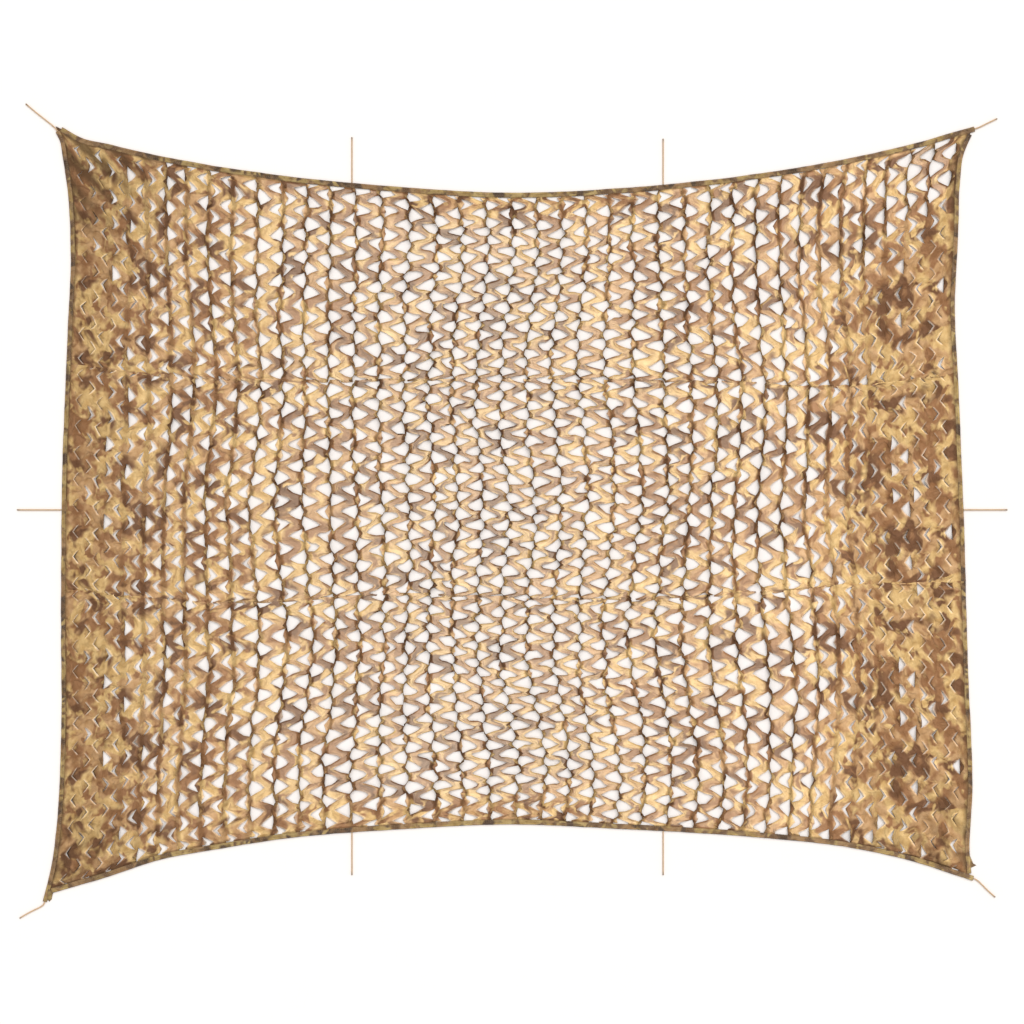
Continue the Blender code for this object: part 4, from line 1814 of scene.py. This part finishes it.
LOOSE_TABS = (
    # Each outline runs counter-clockwise; the last two are the heights of rim and middle.
    LooseTab("loose_tab_right", ((2.022, -1.528), (2.009, -1.566), (2.027, -1.5925),
                                 (2.054, -1.580), (2.040, -1.5725)), 0.0012, 0.0030),
    LooseTab("loose_tab_left", ((-2.058, -1.666), (-2.064, -1.725), (-2.051, -1.741),
                                (-2.041, -1.730), (-2.034, -1.6965)), 0.0015, 0.0060),
)


# ---- Stitching -----------------------------------------------------------------------------


@dataclass(frozen=True)
class Stitching:
    """A row of machine stitches laid along a line by a node tree."""

    spacing: float = 0.0085
    length: float = 0.0062
    width: float = 0.0011
    height: float = 0.0008
    slant: float = 0.0
    bead_segments: int = 6
    bead_rings: int = 4

    def _tree(self) -> bpy.types.NodeTree:
        """Build the node tree: resample, place a stitch on each point, realize, dress.

        Returns:
            The tree, with named inputs for its sizes and material.
        """
        tree = bpy.data.node_groups.new("stitch_row", "GeometryNodeTree")
        face = tree.interface
        face.new_socket("Line", in_out="INPUT", socket_type="NodeSocketGeometry")
        for name in ("Spacing", "Length", "Width", "Height", "Slant"):
            face.new_socket(name, in_out="INPUT", socket_type="NodeSocketFloat")
        face.new_socket("Thread", in_out="INPUT", socket_type="NodeSocketMaterial")
        face.new_socket("Stitches", in_out="OUTPUT", socket_type="NodeSocketGeometry")
        write = NodeWriter(tree)
        given = write.add("NodeGroupInput").outputs
        spaced = write.out("GeometryNodeResampleCurve", {"Curve": given["Line"],
                           "Length": given["Spacing"]}, mode="LENGTH")
        tangent = write.out("GeometryNodeInputTangent")
        along = write.out("FunctionNodeAlignRotationToVector", {"Vector": tangent}, axis="X")
        index = write.out("GeometryNodeInputIndex")
        parity = write.math("MODULO", index, 2.0)
        swing = write.out("ShaderNodeMath", {0: parity, 1: 2.0, 2: -1.0},
                          operation="MULTIPLY_ADD")
        turn = write.math("MULTIPLY", swing, given["Slant"])
        euler = write.out("ShaderNodeCombineXYZ", {2: turn})
        slant = write.out("FunctionNodeEulerToRotation", {0: euler})
        rotation = write.out("FunctionNodeRotateRotation", {"Rotation": along,
                             "Rotate By": slant}, rotation_space="LOCAL")
        bead = write.out("GeometryNodeMeshUVSphere", {"Segments": self.bead_segments,
                         "Rings": self.bead_rings, "Radius": 0.5})
        size = write.out("ShaderNodeCombineXYZ", {0: given["Length"], 1: given["Width"],
                         2: given["Height"]})
        placed = write.out("GeometryNodeInstanceOnPoints", {"Points": spaced,
                           "Instance": bead, "Rotation": rotation, "Scale": size})
        real = write.out("GeometryNodeRealizeInstances", {0: placed})
        dressed = write.out("GeometryNodeSetMaterial", {"Geometry": real,
                            "Material": given["Thread"]})
        write.add("NodeGroupOutput", {0: dressed})
        return tree

    def build(self, name: str, lines: Sequence[Array],
              material: bpy.types.Material) -> bpy.types.Object:
        """Sew along lines.

        Args:
            name: the piece's name.
            lines: points of each line, in the table's frame.
            material: the thread's finish.

        Returns:
            The finished piece, a plain mesh.
        """
        curve = bpy.data.curves.new(name, "CURVE")
        curve.dimensions = "3D"
        for line in lines:
            spline = curve.splines.new("POLY")
            spline.points.add(len(line) - 1)
            for slot, point in zip(spline.points, line - BOX_MIDDLE):
                slot.co = (*point, 1.0)
        row = link_new(name, curve)
        modifier = row.modifiers.new("stitches", "NODES")
        modifier.node_group = self._tree()
        sizes = {"Spacing": self.spacing, "Length": self.length, "Width": self.width,
                 "Height": self.height, "Slant": self.slant, "Thread": material}
        for socket in modifier.node_group.interface.items_tree:
            if socket.in_out == "INPUT" and socket.name in sizes:
                modifier[socket.identifier] = sizes[socket.name]
        piece = bake_modifiers(row)
        piece.name = name
        return piece


# ---- Ties ----------------------------------------------------------------------------------


class TieRow(NamedTuple):
    """Where one tie leaves its binding and where its cut end lies."""

    name: str
    side: Side
    place: float | End
    end_x: float
    end_y: float


TIES = (
    #      name                       side         place     free end x, y
    TieRow("tie_top_left", Side.TOP, -0.711, -0.711, 1.644),
    TieRow("tie_top_right", Side.TOP, 0.667, 0.667, 1.637),
    TieRow("tie_bottom_left", Side.BOTTOM, -0.711, -0.711, -1.623),
    TieRow("tie_bottom_right", Side.BOTTOM, 0.667, 0.667, -1.623),
    TieRow("tie_left", Side.LEFT, -0.006, -2.194, -0.006),
    TieRow("tie_right", Side.RIGHT, -0.006, 2.191, -0.006),
    TieRow("tie_corner_top_left", Side.LEFT, End.FAR, -2.155, 1.792),
    TieRow("tie_corner_top_right", Side.TOP, End.FAR, 2.146, 1.726),
    TieRow("tie_corner_bottom_left", Side.LEFT, End.NEAR, -2.182, -1.814),
    TieRow("tie_corner_bottom_right", Side.BOTTOM, End.FAR, 2.137, -1.721),
)


@dataclass
class TieCord:
    """A short twisted cord that leaves a binding and lies on the ground."""

    row: TieRow
    ends: tuple[float, float]
    strands: int = 3
    strand_share: float = 0.50
    lay: float = 0.024
    ring_points: int = 7
    ring_step: float = 0.0035
    fewest_steps: int = 12
    end_share: float = 0.10
    end_shade: float = 0.75

    def route(self) -> Array:
        """Return the cord's centre line in the table's frame, from binding to cut end.

        Returns:
            Points on the line.
        """
        edge = EDGES[self.row.side]
        height = TIE_DIAMETER / 2.0 + TIE_GROUND_GAP
        end = np.array((self.row.end_x, self.row.end_y, height))
        if isinstance(self.row.place, End):
            along = self.ends[self.row.place.value]
            way = 1.0 if self.row.place is End.FAR else -1.0
            outwards = edge.direction(along) * way
            root = edge.point(along, edge.width / 2.0, height) + outwards * TIE_ROOT_GAP
        else:
            root = edge.point(self.row.place, 0.0, height)
            outwards = (end - root) / np.linalg.norm(end - root)
            root = root + outwards * TIE_ROOT_GAP
        third = root + (end - root) / 3.0
        steps = max(self.fewest_steps,
                    round(float(np.linalg.norm(end - root)) / TIE_POINT_STEP))
        share = np.linspace(0.0, 1.0, steps + 1)[:, None]
        left = 1.0 - share
        return (left ** 3 * root + 3.0 * left ** 2 * share * (root + outwards * TIE_LEAD)
                + 3.0 * left * share ** 2 * third + share ** 3 * end)

    def build(self, material: bpy.types.Material) -> tuple[bpy.types.Object, Array]:
        """Twist the strands round the route.

        Args:
            material: the cord's finish.

        Returns:
            The piece and its centre line in the scene's frame.
        """
        coarse = self.route()
        run = running_length(coarse)
        count = max(self.fewest_steps, round(run[-1] / self.ring_step))
        place = np.linspace(0.0, run[-1], count + 1)
        line = np.stack([np.interp(place, run, coarse[:, axis]) for axis in range(3)], axis=1)
        forward = np.gradient(line, axis=0)
        forward /= np.linalg.norm(forward, axis=1)[:, None]
        sideways = np.stack((-forward[:, 1], forward[:, 0], 0.0 * forward[:, 0]), axis=1)
        upwards = np.array((0.0, 0.0, 1.0))
        thin = TIE_DIAMETER / 2.0 * self.strand_share
        centre = TIE_DIAMETER / 2.0 - thin
        size = self.ring_points
        ring = np.linspace(0.0, 2.0 * math.pi, size, endpoint=False)
        points, flat, shade, faces = [], [], [], []
        for strand in range(self.strands):
            base = len(points) * size
            for index, spot in enumerate(place):
                turn = 2.0 * math.pi * (spot / self.lay + strand / self.strands)
                heart = line[index] + centre * (math.cos(turn) * sideways[index]
                                                + math.sin(turn) * upwards)
                around = (np.cos(ring)[:, None] * sideways[index]
                          + np.sin(ring)[:, None] * upwards) * thin
                points.append(heart + around)
                flat.append(np.stack((np.full(size, spot), ring * thin), axis=1))
                worn = max(0.0, (spot / run[-1] - 1.0 + self.end_share) / self.end_share)
                shade.append(np.full(size, self.end_shade * worn))
            faces.extend((first, *others[::-1])
                         for first, *others in tube_quads(base, count + 1, size))
            last = base + count * size
            faces += [tuple(range(base, base + size)), tuple(range(last, last + size))[::-1]]
        piece = add_piece(f"{self.row.name}_cord", np.concatenate(points), faces,
                          np.concatenate(flat), np.concatenate(shade), material)
        return piece, line - BOX_MIDDLE


# ---- Studio --------------------------------------------------------------------------------


@dataclass(frozen=True)
class Studio:
    """The plain white ground, the soft lights and the camera straight above."""

    frame_width: float = 4.536
    middle: tuple[float, float] = (-0.0007, -0.0043)
    lens: float = 60.0
    sensor: float = 36.0
    furthest_seen: float = 50.0
    key: float = 1.55
    key_angle: float = 48.0
    key_place: tuple[float, float, float] = (0.8, 3.0, 4.0)
    fill: float = 0.95
    floor_reach: float = 9.0
    floor_height: float = -0.0006
    floor_dim: Colour = (0.815, 0.770, 0.738)
    floor_pale: Colour = (0.830, 0.785, 0.752)
    floor_clouds: Clouds = Clouds(3.0)
    floor_roughness: float = 0.9

    def set_camera(self) -> None:
        """Hang the camera over the net, looking straight down."""
        camera = bpy.data.cameras.new("view")
        camera.lens = self.lens
        camera.sensor_width = self.sensor
        camera.clip_end = self.furthest_seen
        hung = link_new("view", camera)
        hung.location = (*self.middle, self.frame_width * self.lens / self.sensor)
        bpy.context.scene.camera = hung

    def add_floor(self) -> bpy.types.Object:
        """Lay the pale ground.

        Returns:
            The ground.
        """
        material, write, shader = start_material("pale_ground")
        place = write.add("ShaderNodeTexCoord").outputs["Object"]
        colour = write.mix(write.noise(place, self.floor_clouds), opaque(self.floor_dim),
                           opaque(self.floor_pale))
        write.fill(shader, {"Base Color": colour, "Roughness": self.floor_roughness})
        mesh = bpy.data.meshes.new("ground")
        reach, low = self.floor_reach, self.floor_height
        mesh.from_pydata([(-reach, -reach, low), (reach, -reach, low), (reach, reach, low),
                          (-reach, reach, low)], [], [(0, 1, 2, 3)])
        mesh.materials.append(material)
        return link_new("ground", mesh)

    def add_lights(self) -> None:
        """Light the net softly from above and a little more from its upper side."""
        world = bpy.data.worlds.new("studio")
        world.use_nodes = True
        back = world.node_tree.nodes["Background"]
        back.inputs["Color"].default_value = (1.0, 1.0, 1.0, 1.0)
        back.inputs["Strength"].default_value = self.fill
        bpy.context.scene.world = world
        light = bpy.data.lights.new("key", "SUN")
        light.energy = self.key
        light.angle = math.radians(self.key_angle)
        lamp = link_new("key", light)
        lamp.location = self.key_place
        lamp.rotation_euler = (-Vector(self.key_place)).to_track_quat("-Z", "Y").to_euler()
        bpy.context.scene.view_settings.view_transform = "Standard"


# ---- The whole net -------------------------------------------------------------------------


BINDING_SEED = 40
TAPE_PRINT = ClothPrint(tan=(0.315, 0.200, 0.104), brown=(0.165, 0.104, 0.064),
                        ochre=(0.410, 0.300, 0.130), dark=(0.085, 0.060, 0.045))
TAPE_PRINT_SCALE = 1.15     # how much smaller the tape's print is than the cloth's
OUTER_STITCHES = (0.0125, 0.0056)    # inset from the outer line, height
INNER_STITCHES = (0.0030, 0.0053)    # distance from the inner line, height
SEAM_STITCHING = Stitching(spacing=0.0075, length=0.0098, slant=0.62)


def build_ties(ends: dict[Side, tuple[float, float]]) -> None:
    """Args:
        ends: where each binding starts and stops.
    """
    material = CordFinish().build("tie_cord")
    for row in TIES:
        piece, line = TieCord(row, ends[row.side]).build(material)
        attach(piece, "root")
        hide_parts(row.name)


def build_bindings(ends: dict[Side, tuple[float, float]]) -> dict[Side, bpy.types.Object]:
    """Build the four bindings and the stitching on them.

    Args:
        ends: where each binding starts and stops.

    Returns:
        The tape of each edge.
    """
    tape = TAPE_PRINT.build("binding_tape", TAPE_PRINT_SCALE)
    thread = ThreadFinish().build("sewing_thread")
    pieces = {}
    for number, side in enumerate(Side):
        binding = EdgeBinding(side, ends[side], BINDING_SEED + 2 * number)
        piece = binding.build(tape)
        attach(piece, "root")
        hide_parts(f"binding_{side.value}")
        pieces[side] = piece
        inner, height = INNER_STITCHES
        rows = Stitching().build(f"stitches_{side.value}",
                                 [binding.stitch_line(*OUTER_STITCHES),
                                  binding.stitch_line(EDGES[side].width - inner, height)],
                                 thread)
        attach(rows, "root")
        LOG.info("%s binding: %d triangles, %d in its stitches", side.value,
                 count_triangles(piece), count_triangles(rows))
    for tab in LOOSE_TABS:
        scrap = tab.build(tape)
        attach(scrap, "root")
        LOG.info("%s: %d triangles", tab.name, count_triangles(scrap))
    return pieces


def build_cloth() -> None:
    """Build the three widths of cloth and the seams between them.
    """
    material = ClothPrint().build("slit_cloth")
    runs: list[Array] = []
    for width in (
        ClothWidth("cloth_top", 10, lower="upper_seam", upper="top", roll_start=0),
        ClothWidth("cloth_middle", 12, lower="lower_seam", upper="upper_seam", roll_start=0),
        ClothWidth("cloth_bottom", 13, lower="bottom", upper="lower_seam", roll_start=2),
    ):
        piece = width.build(material)
        runs.extend(width.seam_runs)
        node = width.name.replace("cloth", "net_panel")
        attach(piece, "root")
        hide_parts(node)
        width.flat_size()
        LOG.info("%s: %d triangles", width.name, count_triangles(piece))
    thread = bpy.data.materials["sewing_thread"]
    seam = SEAM_STITCHING.build("stitches_seams", runs, thread)
    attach(seam, "root")
    LOG.info("seams: %d triangles", count_triangles(seam))


def main() -> None:
    """Build the studio, the ties, the bindings and the cloth in order."""
    studio = Studio()
    studio.set_camera()
    ends = binding_ends()
    build_ties(ends)
    floor = studio.add_floor()
    studio.add_lights()
    tapes = build_bindings(ends)
    build_cloth()


if __name__ == "__main__":
    main()
